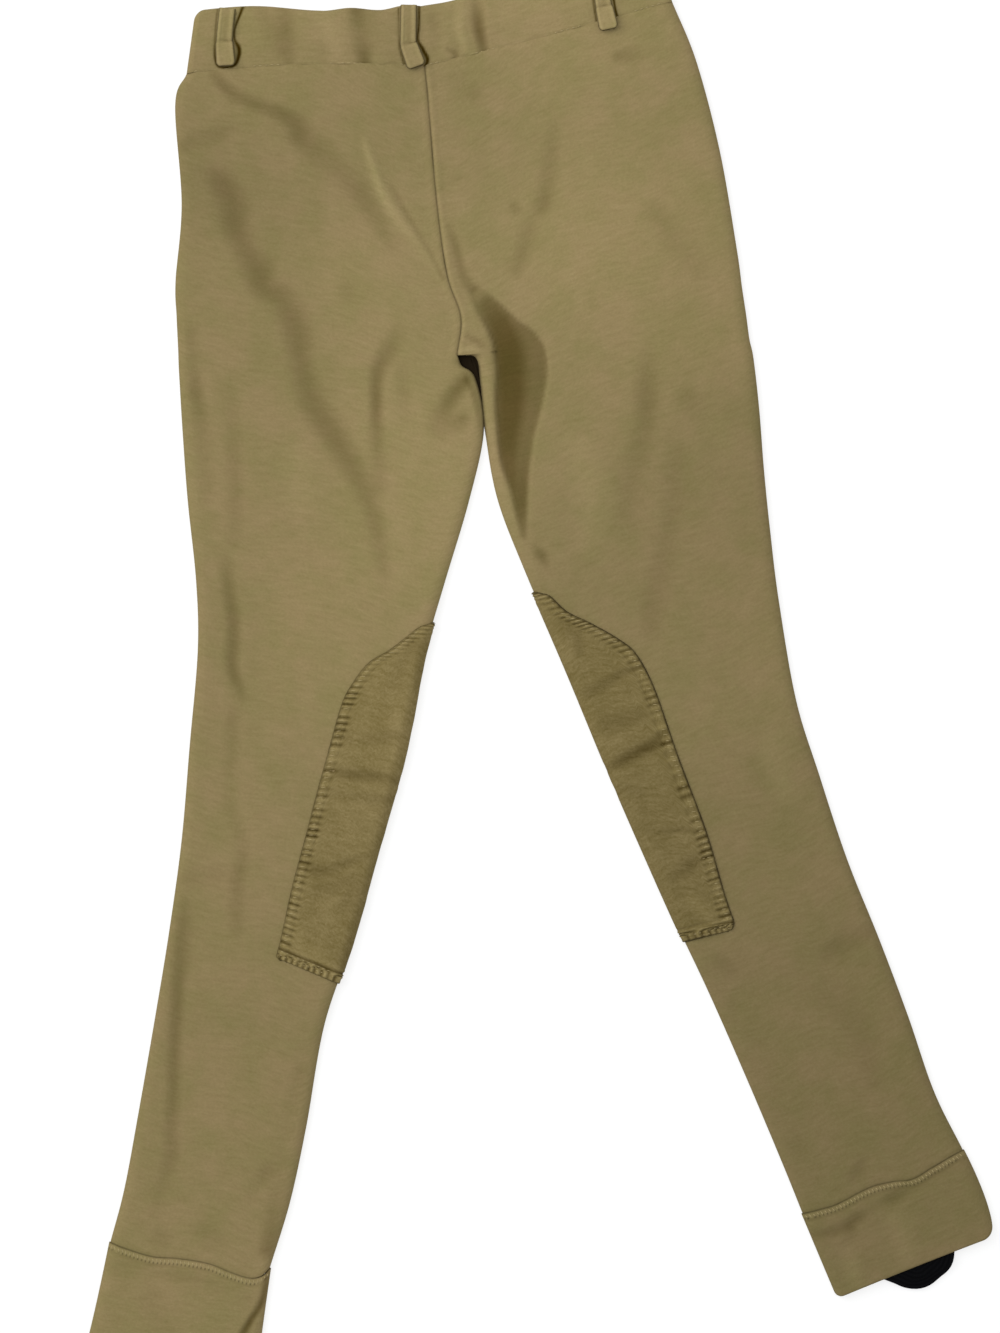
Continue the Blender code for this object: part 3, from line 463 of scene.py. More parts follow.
# %% How a crease moves the cloth
def crease_field(x, y, creases):
    """Depth and shade that a set of creases gives at points in plan."""
    depth = np.zeros(x.shape)
    shade = np.zeros(x.shape)
    for bends in creases.values():
        steps = np.linspace(0.0, len(bends) - 1.0, 24 * (len(bends) - 1) + 1)
        line = through(bends, steps)
        widest = line[:, 2].max() + 1.0
        near = ((x > line[:, 0].min() - widest) & (x < line[:, 0].max() + widest)
                & (y > line[:, 1].min() - widest) & (y < line[:, 1].max() + widest))
        if not near.any():
            continue
        off = np.hypot(x[near][:, None] - line[:, 0], y[near][:, None] - line[:, 1])
        closest = np.argmin(off / line[:, 2], axis=1)
        here = line[closest]
        share = off[np.arange(len(closest)), closest] / here[:, 2]
        profile = smooth((1.0 - share) / here[:, 5])
        depth[near] += here[:, 3] * profile
        shade[near] += here[:, 4] * profile
    return depth, shade


print("depth and shade in a crease of the left hip:",
      crease_field(np.array([-141.4]), np.array([305.3]), LEFT_CREASES))

# %% [markdown]
# ## Lighter and darker cloth
# The cloth's colour is lighter in some places and darker in others: lighter at the seat and the
# inner thigh, darker at the lower legs, most of all on the right. A few places say how light the
# cloth is there, and the cloth between them takes an average that counts near places most.

# %% How light the cloth is, place by place
LIGHTNESS_PLACES = (
    (-168.0, 354.0, 1.06), (10.0, 365.0, 1.13), (-188.0, 302.0, 0.80), (-122.0, 308.0, 0.91),
    (-36.0, 313.0, 0.95), (56.0, 313.0, 0.98), (33.0, 250.0, 1.12), (91.0, 216.0, 0.99),
    (-70.0, 216.0, 1.02), (-191.0, 187.0, 0.92), (-168.0, 101.0, 0.95), (-64.0, 101.0, 1.10),
    (28.0, 147.0, 0.99), (102.0, 101.0, 0.85), (-185.0, -3.0, 0.91), (-122.0, 9.0, 1.02),
    (-174.0, -95.0, 0.93), (-179.0, -198.0, 0.91), (-202.0, -302.0, 0.93), (-220.0, -371.0, 0.97),
    (45.0, 66.0, 0.88), (91.0, 3.0, 0.88), (125.0, -112.0, 0.80), (148.0, -198.0, 0.76),
    (177.0, -267.0, 0.74), (194.0, -339.0, 0.75),
)
LIGHTNESS_SPREAD = 34.0       # how far one place counts, in millimetres


def lightness_at(x, y):
    """How light the cloth is at points in plan: 1 is the cloth's own colour."""
    total = np.full(x.shape, 1e-9)
    light = np.full(x.shape, 1e-9)
    for place_x, place_y, value in LIGHTNESS_PLACES:
        off = ((x - place_x) ** 2 + (y - place_y) ** 2) / (2.0 * LIGHTNESS_SPREAD ** 2)
        weight = np.exp(-off) + 1e-3 / (1.0 + off) ** 2
        total += weight
        light += weight * value
    return light / total


print("dye at the seat and at the right calf:",
      lightness_at(np.array([35.0, 150.0]), np.array([250.0, -190.0])))

# %% [markdown]
# ## One leg
# The leg is read from its table. Above the crotch the front and the back have different centre
# seams, because a seat needs more room at the back. The knee patch lies on the cloth above and
# also under the front, so it lifts the leg a little.

# %% The plan of a leg
LIFT_LEAD = 40.0         # the leg starts to rise this far beyond the ends of a patch
LIFT_RAMP = 30.0         # and is fully up after this much
LIFT_REACH = 98.0        # across the leg, the rise ends this far in from the inner edge
LIFT_SLOPE = 34.0        # and fades over this width


class Leg:
    """The plan of one leg: its edges and the lift that its knee patch gives it."""

    def __init__(self, side, sections, hem, patch, front_fork, seam_side, creases):
        self.side = side
        self.hem = hem
        self.patch = patch
        self.seam_side = seam_side          # -1 left of the centre seams, +1 right of them
        self.creases = creases
        self.last = len(sections) - 1.0
        self.outer = np.array([(row.outer_x, row.outer_y) for row in sections])
        self.bow = np.array([row.bow for row in sections])
        inner = np.array([(row.inner_x, row.inner_y) for row in sections])
        front_seat = np.array(FRONT_SEAM)
        below = CROTCH + 1 + len(front_fork)
        self.seat = {"back": inner[:CROTCH + 1], "front": front_seat}
        self.inseam = {
            "back": inner[CROTCH:],
            "front": np.concatenate([front_seat[-1:], np.array(front_fork), inner[below:]]),
        }

    def ends(self, face, at):
        """The outer and the inner end of the sections at fractional rows, and their bow."""
        outer = through(self.outer, at)
        seat = through(self.seat[face], np.minimum(at, CROTCH))
        inseam = through(self.inseam[face], np.maximum(at - CROTCH, 0.0))
        inner = np.where((at <= CROTCH)[..., None], seat, inseam)
        # the two halves meet in their seam, and lie a little apart below it
        apart = smooth(at - CROTCH - (2.0 if face == "front" else 0.0))
        inner[..., 0] += self.seam_side * (SEAM / 2.0 * apart - 0.15 * (1.0 - apart))
        return outer, inner, through(self.bow, at)

    def cuff_dip(self, share):
        """How far the cuff seam dips at a share of the way in from the outer edge."""
        dips = np.array(CUFF_DIPS[self.side])
        rows = np.interp(share, dips[:, 0], np.arange(len(dips)))
        return through(dips[:, 1], rows)

    def edge_row(self, y):
        """The fractional rows at which the inseam passes given Ys."""
        rows = np.linspace(CROTCH + 1.0, self.last, 600)
        edge = self.ends("back", rows)[1][:, 1]
        return np.interp(-y, -edge, rows)

    def lift(self, at, from_inner):
        """How much the cloth is raised by the knee patch that goes under the front."""
        y = self.ends("back", np.maximum(at, CROTCH + 1.0))[1][..., 1]
        above = smooth((self.patch[0].edge_y + LIFT_LEAD - y) / LIFT_RAMP)
        below = smooth((y - self.patch[-1].edge_y + LIFT_LEAD) / LIFT_RAMP)
        return PATCH_LIFT * above * below * smooth((LIFT_REACH - from_inner) / LIFT_SLOPE)


LEFT = Leg("left", LEFT_SECTIONS, LEFT_HEM, LEFT_PATCH, FRONT_FORK_LEFT, -1, LEFT_CREASES)
RIGHT = Leg("right", RIGHT_SECTIONS, RIGHT_HEM, RIGHT_PATCH, FRONT_FORK_RIGHT, 1, RIGHT_CREASES)
print("last rows of the legs:", LEFT.last, RIGHT.last)

# %% The skin of a flattened tube
Half = namedtuple("Half", "face up line_gap round")
BACK = Half("back", 1, SEAM / 2.0, BACK_ROUND)
FRONT = Half("front", -1, -SEAM / 2.0, FRONT_ROUND)


def skin(leg, half, at, from_inner, creases):
    """Outer face of one half of a leg: points, shade, and the height share of the roll."""
    outer, inner, bow = leg.ends(half.face, at)
    run = inner - outer
    width = np.hypot(run[..., 0], run[..., 1])
    from_outer = width - from_inner
    share = from_outer / width
    x = outer[..., 0] + run[..., 0] * share
    y = outer[..., 1] + run[..., 1] * share + bow * 4.0 * share * (1.0 - share)
    y = y - leg.cuff_dip(share) * smooth(at - leg.last + 1.0) ** 2
    rolled = smooth(at - CROTCH)
    lift = leg.lift(at, from_inner)
    line = FOLD_LINE + half.line_gap + lift
    rise = dome(from_outer / half.round)
    rise = rise * (1.0 - rolled * (1.0 - dome(from_inner / half.round)))
    depth, shade = crease_field(x, y, creases)
    if half.up > 0:
        level = BACK_TOP + lift - depth
    else:
        level = lift + depth
    z = line + (level - line) * rise
    return np.stack([x, y, z], axis=-1), shade * rise, rise


print("left leg at the knee:", LEFT.ends("back", np.array([10.0]))[:2])

# %% [markdown]
# ## From a grid to a piece of cloth
# A sheet starts as Blender's grid, which already has neat rows, faces up and a UV map. Its corners
# are then moved to the worked-out points. The UV map is written in metres along and across the
# cloth, so that a knit pattern follows the grain of each piece. Three attributes go with it: shade
# is the shade painted into a fold, or the light painted onto a ridge where it is negative, mark is
# how strongly a seam line or a shadow painted at an edge or gap shows, and the third is how light
# the cloth's colour is at its place.

# %% The grid maker
DOUBLES = 0.00002        # corners closer than this, in metres, are one
ROUND_BELOW = 50.0       # edges flatter than this, in degrees, are shaded smoothly


def normals(points):
    """Outward directions of a grid of points."""
    across = np.gradient(points, axis=1)
    along = np.gradient(points, axis=0)
    out = np.cross(across, along)
    return out / np.maximum(np.linalg.norm(out, axis=-1, keepdims=True), 1e-9)


def pick(*objects):
    """Selects these objects only, and makes the first one active."""
    bpy.ops.object.select_all(action="DESELECT")
    for thing in objects:
        thing.select_set(True)
    bpy.context.view_layer.objects.active = objects[0]


def lengths(points, axis):
    """Distance along the grid from its first row or column."""
    step = np.linalg.norm(np.diff(points, axis=axis), axis=-1)
    start = np.zeros_like(np.take(step, [0], axis=axis))
    return np.concatenate([start, np.cumsum(step, axis=axis)], axis=axis)


def sheet(name, points, shade, wall, mark=None, up=True, closed=False):
    """Cloth over a grid of outer points (rows from the bottom up, columns from the left)."""
    rows, cols = points.shape[:2]
    bpy.ops.object.select_all(action="DESELECT")
    bpy.ops.mesh.primitive_grid_add(x_subdivisions=cols - 1, y_subdivisions=rows - 1, size=1.0,
                                    calc_uvs=True)
    piece = bpy.context.object
    piece.name = name
    mesh = piece.data
    mesh.name = name
    flat = np.zeros(len(mesh.vertices) * 3)
    mesh.vertices.foreach_get("co", flat)
    flat = flat.reshape(-1, 3)
    col = np.rint((flat[:, 0] + 0.5) * (cols - 1)).astype(int)
    row = np.rint((flat[:, 1] + 0.5) * (rows - 1)).astype(int)
    placed = (points + np.array([FRAME_X, FRAME_Y, 0.0])) * MM
    mesh.vertices.foreach_set("co", placed[row, col].ravel())
    cloth_uv = np.stack([lengths(placed, 1), lengths(placed, 0)], axis=-1)[row, col]
    corner = np.zeros(len(mesh.loops), int)
    mesh.loops.foreach_get("vertex_index", corner)
    mesh.uv_layers[0].name = "cloth"
    mesh.uv_layers["cloth"].data.foreach_set("uv", cloth_uv[corner].ravel())
    lightness = lightness_at(points[..., 0], points[..., 1])
    for label, values in (("shade", shade), ("mark", mark), ("lightness", lightness)):
        values = np.zeros((rows, cols)) if values is None else values
        stored = mesh.attributes.new(label, "FLOAT", "POINT")
        stored.data.foreach_set("value", np.clip(values, -1.0, 2.0)[row, col].ravel())
    mesh.update()
    if not up:
        mesh.flip_normals()
    if closed:
        pick(piece)
        bpy.ops.object.mode_set(mode="EDIT")
        bpy.ops.mesh.select_all(action="SELECT")
        bpy.ops.mesh.remove_doubles(threshold=DOUBLES)
        bpy.ops.object.mode_set(mode="OBJECT")
    thicken(piece, wall)
    return piece


def thicken(piece, wall):
    """Gives an open skin the thickness of the cloth, inwards, and shades it smoothly."""
    pick(piece)
    solid = piece.modifiers.new("wall", "SOLIDIFY")
    solid.thickness = wall * MM
    solid.offset = -1.0
    solid.use_even_offset = False
    solid.use_rim = True
    bpy.ops.object.modifier_apply(modifier=solid.name)
    bpy.ops.object.shade_smooth_by_angle(angle=math.radians(ROUND_BELOW))


def settle(piece, nodes, finish):
    """Hands a finished piece to the frame: its body, the CAD nodes it stands for and its finish."""
    piece.data.materials.clear()
    piece.data.materials.append(finish)
    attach(piece, "root")
    if nodes:
        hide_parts(*nodes)
    print(f"{piece.name}: {len(piece.data.polygons)} faces")


print("corners closer than", DOUBLES, "m are merged, edges below", ROUND_BELOW, "degrees are smooth")

# %% [markdown]
# ## Colours and one node helper
# Colours are written as the hex values that a paint program shows. Blender mixes light in linear
# values, so one function turns them. One other function adds a node, sets it and links it.

# %% Colour and node helpers
def linear(hex_colour):
    """sRGB hex to the linear colour that a shader takes."""
    parts = [int(hex_colour[k:k + 2], 16) / 255.0 for k in (1, 3, 5)]
    turned = [c / 12.92 if c <= 0.04045 else ((c + 0.055) / 1.055) ** 2.4 for c in parts]
    return (*turned, 1.0)


def add(tree, kind, values=None, sources=None, **settings):
    """A node with its settings, the values of its sockets and the sockets that feed it."""
    made = tree.nodes.new(kind)
    for name, value in settings.items():
        setattr(made, name, value)
    for socket, value in (values or {}).items():
        made.inputs[socket].default_value = value
    for socket, source in (sources or {}).items():
        tree.links.new(source, made.inputs[socket])
    return made


def blank(name, colour, roughness):
    """A new material with its Principled shader, ready for nodes."""
    made = bpy.data.materials.new(name)
    made.use_nodes = True
    made.diffuse_color = linear(colour)
    shader = made.node_tree.nodes["Principled BSDF"]
    shader.inputs["Base Color"].default_value = linear(colour)
    shader.inputs["Roughness"].default_value = roughness
    return made, made.node_tree, shader


print("olive tan, linear:", [round(c, 3) for c in linear("#8F7F58")])

# %% [markdown]
# ## The knit
# The cloth is a cotton and elastane double knit, piece dyed to an olive tan and brushed on its
# face. Dye takes unevenly on it, so it has warm and olive patches 10 to 25 mm across, thin streaks
# along the courses, and a fine heather. The wales are about 0.9 mm apart. That is finer than a
# render of the whole garment can show, so the heather is drawn at 1.6 mm. A brushed face is very
# rough, with a slight sheen. Shade is painted into its colour down in a fold, and light on a ridge.

# %% The knit's material
# painted shade: the colour that the cloth is multiplied by at full shade in a fold
PAINTED_FOLD_SHADE = "#C7C3B5"         # what a fold leaves of the cloth's own colour
# the colour that mark mixes in: the dark of seam lines, and painted shadow under edges and in gaps
SEAM_DARK_AND_SHADOW = "#1C150B"         # the shadow and lint in a seam or under an edge
GREY = 0.07              # how pale a worn fibre end is, on a scale to 1


def dyed_cloth(name, light, dark, heather, speck, relief, sheen):
    """Brushed cloth with uneven dye: how much its fine grain shows, and a speck's size in mm."""
    made, tree, shader = blank(name, light, 0.92)
    place = add(tree, "ShaderNodeTexCoord")
    grain = add(tree, "ShaderNodeUVMap", uv_map="cloth")
    broad = add(tree, "ShaderNodeTexNoise", {"Scale": 40.0, "Detail": 5.0, "Roughness": 0.62},
                {"Vector": place.outputs["Object"]})
    patchy = add(tree, "ShaderNodeMapRange",
                 {"From Min": 0.36, "From Max": 0.64, "To Min": 0.0, "To Max": 1.0},
                 {"Value": broad.outputs["Fac"]})
    dye = add(tree, "ShaderNodeMix", {6: linear(light), 7: linear(dark)},
              {0: patchy.outputs["Result"]}, data_type="RGBA")
    # streaks and specks lighten and darken the dye about its own value
    scales = ((95.0, 420.0), (1000.0 / speck, 1250.0 / speck))
    shares = ((0.25, 0.75, 1.3 * heather), (0.2, 0.8, 1.7 * heather))
    layers = []
    for (across, along), (least, most, swing) in zip(scales, shares):
        laid = add(tree, "ShaderNodeMapping", {"Scale": (across, along, 1.0)},
                   {"Vector": grain.outputs["UV"]})
        noise = add(tree, "ShaderNodeTexNoise", {"Scale": 1.0, "Detail": 3.0, "Roughness": 0.6},
                    {"Vector": laid.outputs["Vector"]})
        swung = add(tree, "ShaderNodeMapRange",
                    {"From Min": least, "From Max": most,
                     "To Min": 1.0 - swing, "To Max": 1.0 + swing},
                    {"Value": noise.outputs["Fac"]})
        layers.append((noise, swung))
    (streak, streaks), (fine, specks) = layers
    both = add(tree, "ShaderNodeMath", {},
               {0: streaks.outputs["Result"], 1: specks.outputs["Result"]}, operation="MULTIPLY")
    # a worn fibre end is greyer than the dye under it, so the swing is about a greyer colour
    greyed = add(tree, "ShaderNodeVectorMath", {1: (GREY,) * 3}, {0: dye.outputs[2]}, operation="ADD")
    swung = add(tree, "ShaderNodeVectorMath", {},
                {0: greyed.outputs["Vector"], "Scale": both.outputs[0]}, operation="SCALE")
    dyed = add(tree, "ShaderNodeVectorMath", {1: (GREY,) * 3}, {0: swung.outputs["Vector"]},
               operation="SUBTRACT")
    lightness = add(tree, "ShaderNodeAttribute", attribute_name="lightness")
    tinted = add(tree, "ShaderNodeVectorMath", {},
                 {0: dyed.outputs["Vector"], "Scale": lightness.outputs["Fac"]}, operation="SCALE")
    # painted shade: a fold multiplies the colour, and a ridge, whose shade is negative, is painted
    # lighter
    shade = add(tree, "ShaderNodeAttribute", attribute_name="shade")
    painted_shade_factor = add(tree, "ShaderNodeMix", {6: linear("#FFFFFF"), 7: linear(PAINTED_FOLD_SHADE)},
                  {0: shade.outputs["Fac"]}, data_type="RGBA", clamp_factor=False)
    folded = add(tree, "ShaderNodeVectorMath", {},
                 {0: tinted.outputs["Vector"], 1: painted_shade_factor.outputs[2]}, operation="MULTIPLY")
    # mark mixes in the dark of seam lines, and painted shadow at edges and in the gap at the crotch
    mark = add(tree, "ShaderNodeAttribute", attribute_name="mark")
    lined = add(tree, "ShaderNodeMix", {7: linear(SEAM_DARK_AND_SHADOW)},
                {0: mark.outputs["Fac"], 6: folded.outputs["Vector"]}, data_type="RGBA")
    tree.links.new(lined.outputs[2], shader.inputs["Base Color"])
    height = add(tree, "ShaderNodeMath", {1: 0.5},
                 {0: fine.outputs["Fac"], 2: streak.outputs["Fac"]}, operation="MULTIPLY_ADD")
    bump = add(tree, "ShaderNodeBump", {"Strength": 1.0, "Distance": relief * MM},
               {"Height": height.outputs[0]})
    tree.links.new(bump.outputs["Normal"], shader.inputs["Normal"])
    shader.inputs["Specular IOR Level"].default_value = 0.05
    shader.inputs["Sheen Weight"].default_value = sheen
    shader.inputs["Sheen Roughness"].default_value = 0.6
    shader.inputs["Sheen Tint"].default_value = linear(light)
    return made


knit = dyed_cloth("brushed_cotton_knit", "#8A7954", "#82764D", 0.045, 1.6, 0.12, 0.12)
patch_cloth = dyed_cloth("brushed_patch_cloth", "#81724A", "#776941", 0.10, 1.6, 0.18, 0.15)
print("cloth materials:", knit.name, patch_cloth.name)

# %% [markdown]
# ## The back panels
# Each back panel runs from the waist seam to the cuff seam. Its columns are close together where
# the cloth turns over at its edges, and its rows are close together at the seams, because that is
# where the surface changes fastest. At a seam the cloth is drawn down into a narrow groove.

# %% Back panels
def wobble(t, seed):
    """An uneven wave between about -1 and 1, the same on each run."""
    return (np.sin(t + seed) + 0.7 * np.sin(1.73 * t + 2.1 * seed)
            + 0.5 * np.sin(2.91 * t + 3.7 * seed)) / 2.2


def columns(width, half, edge_steps, middle_steps):
    """Distances in from the inner edge, ordered from the outer edge to the inner one."""
    turn = np.linspace(0.0, math.pi / 2.0, edge_steps + 1)
    roll = half.round * (1.0 - np.cos(turn))
    middle = np.linspace(0.0, 1.0, middle_steps + 1)[1:-1]
    width = width[:, None]
    flat = half.round + (width - 2.0 * half.round) * middle
    outer_roll = np.broadcast_to(roll, (len(width), len(roll)))
    from_outer = np.concatenate([outer_roll, flat, width - outer_roll[:, ::-1]], axis=1)
    return width - from_outer


def panel_rows(leg, half, rows, edge_steps, middle_steps):
    """Rows from the cuff up to the waist, and each one's distances in from the inner edge."""
    at = leg.last * (1.0 - spaced(rows, 4.0, 4.0))
    outer, inner, _ = leg.ends(half.face, at)
    width = np.linalg.norm(inner - outer, axis=-1)
    from_inner = columns(width, half, edge_steps, middle_steps)
    if leg.seam_side > 0:
        from_inner = from_inner[:, ::-1]
    return np.broadcast_to(at[:, None], from_inner.shape), from_inner


def fork_shadow(y):
    """1 below the crotch, where the two inseams nearly touch, little light gets in and shadow is
    painted.
    """
    return smooth((y - 120.0) / 14.0) * smooth((171.0 - y) / 6.0)


def back_panel(leg, rows=360, edge_steps=9, middle_steps=86):
    """One back panel, with its creases, its seam grooves and the unevenness of worn cloth."""
    at, from_inner = panel_rows(leg, BACK, rows, edge_steps, middle_steps)
    points, shade, rise = skin(leg, BACK, at, from_inner, leg.creases)
    from_cuff = lengths(points, 0)
    from_waist = from_cuff[-1:] - from_cuff
    x, y = points[..., 0], points[..., 1]
    seam = 1.0 - smooth(at - CROTCH)
    sink = 0.55 * bell(from_inner, 1.3) * seam - 0.30 * bell(from_inner - 2.8, 2.6) * seam
    sink = sink + 0.20 * bell(from_waist, 1.8) + 0.35 * bell(from_cuff, 1.4)
    # the waist seam lifts the cloth a little and gathers it in small puckers
    sink = sink - 0.9 * bell(from_waist, 16.0)
    sink = sink + 0.16 * wobble(x / 3.1, 1.0) * bell(from_waist, 9.0)
    sink = sink + 0.14 * wobble(y / 2.6 + 0.2 * x, 4.0) * bell(from_inner, 6.0) * seam
    sink = sink + 0.35 * wobble(x / 19.0 + y / 47.0, 2.0) * wobble(y / 31.0 - x / 60.0, 5.0)
    points[..., 2] -= sink * rise
    # seam lines: partly their own dark and partly painted shadow in their grooves, and painted shadow
    # in the narrow gap below the crotch
    along_seam = 0.75 + 0.25 * wobble(y / 9.0, 1.0)
    mark = 0.95 * bell(from_inner, 0.75) * seam * along_seam + 0.03 * bell(from_waist, 1.4)
    mark = mark + 0.55 * bell(from_cuff, 0.8) + 0.60 * bell(from_inner, 1.5) * fork_shadow(y)
    # painted shade in a line just above the cuff seam
    shade = shade + 0.14 * bell(from_cuff - 1.6, 1.6)
    # painted light along the right side of the centre seam
    if leg.seam_side > 0:
        shade = shade - 0.24 * bell(from_inner - 1.7, 1.2) * seam * along_seam
    return sheet(f"cloth_back_{leg.side}", points, shade, KNIT, mark)


for leg in (LEFT, RIGHT):
    settle(back_panel(leg), [f"back_{leg.side}"], knit)

# %% [markdown]
# ## The front panels
# The fronts lie under the backs, face down on the surface. Almost none of them shows from above:
# only a glimpse at the crotch, where the two back panels part and no light gets in, and there the
# inside of a front is painted as deep shadow. Their outer faces get soft creases of their own, with
# painted shade, which are seen from below.

# %% Front panels
LEFT_FRONT_CREASES = lines_of_bends({
    "hip": (
        (-180.0, 300.0, 9.0, 0.3, 0.2), (-140.0, 240.0, 13.0, 0.8, 0.5),
        (-105.0, 170.0, 12.0, 0.7, 0.4), (-80.0, 110.0, 8.0, 0.2, 0.1),
    ),
    "knee": (
        (-190.0, 20.0, 6.0, 0.3, 0.2), (-160.0, -5.0, 8.0, 0.7, 0.4),
        (-135.0, -10.0, 5.0, 0.2, 0.1),
    ),
    "shin": (
        (-190.0, -180.0, 6.0, 0.3, 0.2), (-196.0, -240.0, 7.0, 0.6, 0.3),
        (-205.0, -300.0, 5.0, 0.2, 0.1),
    ),
})
RIGHT_FRONT_CREASES = lines_of_bends({
    "hip": (
        (70.0, 320.0, 8.0, 0.3, 0.2), (40.0, 250.0, 13.0, 0.8, 0.5), (5.0, 190.0, 11.0, 0.6, 0.3),
    ),
    "thigh": (
        (100.0, 120.0, 6.0, 0.3, 0.2), (75.0, 80.0, 9.0, 0.7, 0.4), (60.0, 20.0, 6.0, 0.2, 0.1),
    ),
    "shin": (
        (150.0, -120.0, 6.0, 0.3, 0.2), (165.0, -170.0, 8.0, 0.6, 0.3),
        (190.0, -225.0, 5.0, 0.2, 0.1),
    ),
})
# the line along which the gap between the legs is painted as deep shadow
HOLLOW_TOP = (-44.0, 168.0)              # the dark gap between the legs, from here
HOLLOW_FOOT = (-33.0, 128.0)             # down to here
HOLLOW_REACH = 17.0


def front_panel(leg, creases, rows=190, edge_steps=5, middle_steps=34):
    """One front panel. It is less finely divided, because it lies under the back."""
    at, from_inner = panel_rows(leg, FRONT, rows, edge_steps, middle_steps)
    points, shade, rise = skin(leg, FRONT, at, from_inner, creases)
    from_cuff = lengths(points, 0)
    from_waist = from_cuff[-1:] - from_cuff
    seam = 1.0 - smooth(at - CROTCH)
    sink = 0.7 * bell(from_inner, 2.0) * seam
    sink = sink + 0.6 * bell(from_waist, 2.5) + 0.6 * bell(from_cuff, 2.4)
    points[..., 2] += sink * rise
    mark = 0.5 * bell(from_inner, 1.0) * seam + 0.4 * bell(from_waist, 1.2)
    piece = sheet(f"cloth_front_{leg.side}", points, shade, KNIT, mark, up=False)
    paint_gap_shadow(piece)
    return piece


def paint_gap_shadow(piece):
    """Paints deep shadow inside a front at the gap, where little light gets in, and not on its
    outside.
    """
    mesh = piece.data
    place = np.zeros(len(mesh.vertices) * 3)
    mesh.vertices.foreach_get("co", place)
    x, y, z = (place.reshape(-1, 3) / MM - np.array([FRAME_X, FRAME_Y, 0.0])).T
    down = np.clip((HOLLOW_TOP[1] - y) / (HOLLOW_TOP[1] - HOLLOW_FOOT[1]), 0.0, 1.0)
    off = np.hypot(x - (HOLLOW_TOP[0] + (HOLLOW_FOOT[0] - HOLLOW_TOP[0]) * down),
                   y - (HOLLOW_TOP[1] + (HOLLOW_FOOT[1] - HOLLOW_TOP[1]) * down))
    mark = np.zeros(len(mesh.vertices))
    stored = mesh.attributes["mark"].data
    stored.foreach_get("value", mark)
    # Solidify keeps the outer skin's points first, and adds the inner skin's after them
    inner = np.arange(len(mark)) >= len(mark) // 2
    rolled_up = smooth((z - 0.5) / 0.7)          # the outer skin, where it turns over at the edge
    hidden = np.where(inner, 1.0, rolled_up)
    # the painted shadow: near the gap the cloth takes the shadow colour fully
    stored.foreach_set("value", np.minimum(mark + 2.0 * hidden * bell(off, HOLLOW_REACH), 1.0))


for leg, creases in ((LEFT, LEFT_FRONT_CREASES), (RIGHT, RIGHT_FRONT_CREASES)):
    settle(front_panel(leg, creases), [f"front_{leg.side}"], knit)

# %% [markdown]
# ## The knee patches
# A rider's knees grip the saddle, so the inside of each knee carries a patch of tougher brushed
# cloth. It lies on the back panel, turns round the inner edge of the leg and goes on under the
# front. It is sewn down with a wide zig-zag that draws its rim into small uneven puckers, so the
# rim is modelled: a pressed edge, a groove at each side of the stitching, and puckers between.

# %% Knee patches
LEFT_PATCH_CREASES = lines_of_bends({
    "band across": (
        (-126.5, -66.1, 3.0, 0.3, 0.17), (-120.7, -67.3, 5.5, 0.9, 0.57),
        (-109.2, -69.0, 5.5, 1.0, 0.72), (-95.4, -70.1, 5.5, 0.9, 0.7),
        (-83.9, -71.9, 5.0, 0.5, 0.45),
    ),
    "under the band": (
        (-123.0, -79.3, 4.0, 0.3, 0.26), (-110.4, -81.6, 5.0, 0.4, 0.2),
        (-95.4, -83.4, 5.0, 0.4, 0.45), (-86.2, -82.2, 4.0, 0.3, 0.4),
    ),
    "stitched fold": (
        (-137.4, -119.6, 4.0, 0.5, 0.32), (-129.9, -124.2, 6.0, 0.9, 0.56),
        (-121.9, -124.2, 6.0, 0.8, 0.46), (-110.4, -119.6, 5.0, 0.7, 0.46),
        (-100.0, -116.1, 4.0, 0.3, 0.22),
    ),
    "hollow high": (
        (-116.1, -46.0, 5.0, 0.4, 0.1), (-101.2, -48.9, 7.0, 0.4, 0.26),
        (-83.9, -46.6, 7.0, 0.3, 0.38),
    ),
    "hollow at the top": (
        (-73.6, 5.8, 6.0, 0.5, 0.44), (-79.3, -5.2, 8.0, 0.4, 0.23), (-85.1, -20.1, 9.0, 0.3, 0.16),
    ),
    "low": (
        (-126.5, -136.3, 9.0, 0.4, 0.22), (-109.2, -131.7, 10.0, 0.5, 0.35),
        (-112.7, -143.8, 8.0, 0.2, 0.39),
    ),
    "beside the rim": (
        (-117.3, -47.7, 2.5, 0.5, 0.24), (-109.2, -50.0, 2.5, 0.4, 0.28),
    ),
    "edge": (
        (-67.8, 8.6, 3.5, 0.1, 0.34), (-73.6, -20.1, 3.5, 0.1, 0.3), (-81.6, -54.6, 3.5, 0.1, 0.26),
        (-88.5, -83.4, 3.5, 0.1, 0.22), (-96.6, -117.9, 3.5, 0.1, 0.24),
        (-109.2, -158.1, 4.0, 0.1, 0.34), (-115.0, -182.3, 4.0, 0.1, 0.5),
    ),
    "lighter end": (
        (-143.8, -155.2, 8.0, 0.0, -0.26), (-139.1, -166.8, 9.0, 0.0, -0.34),
        (-126.5, -174.2, 8.0, 0.0, -0.26),
    ),
})
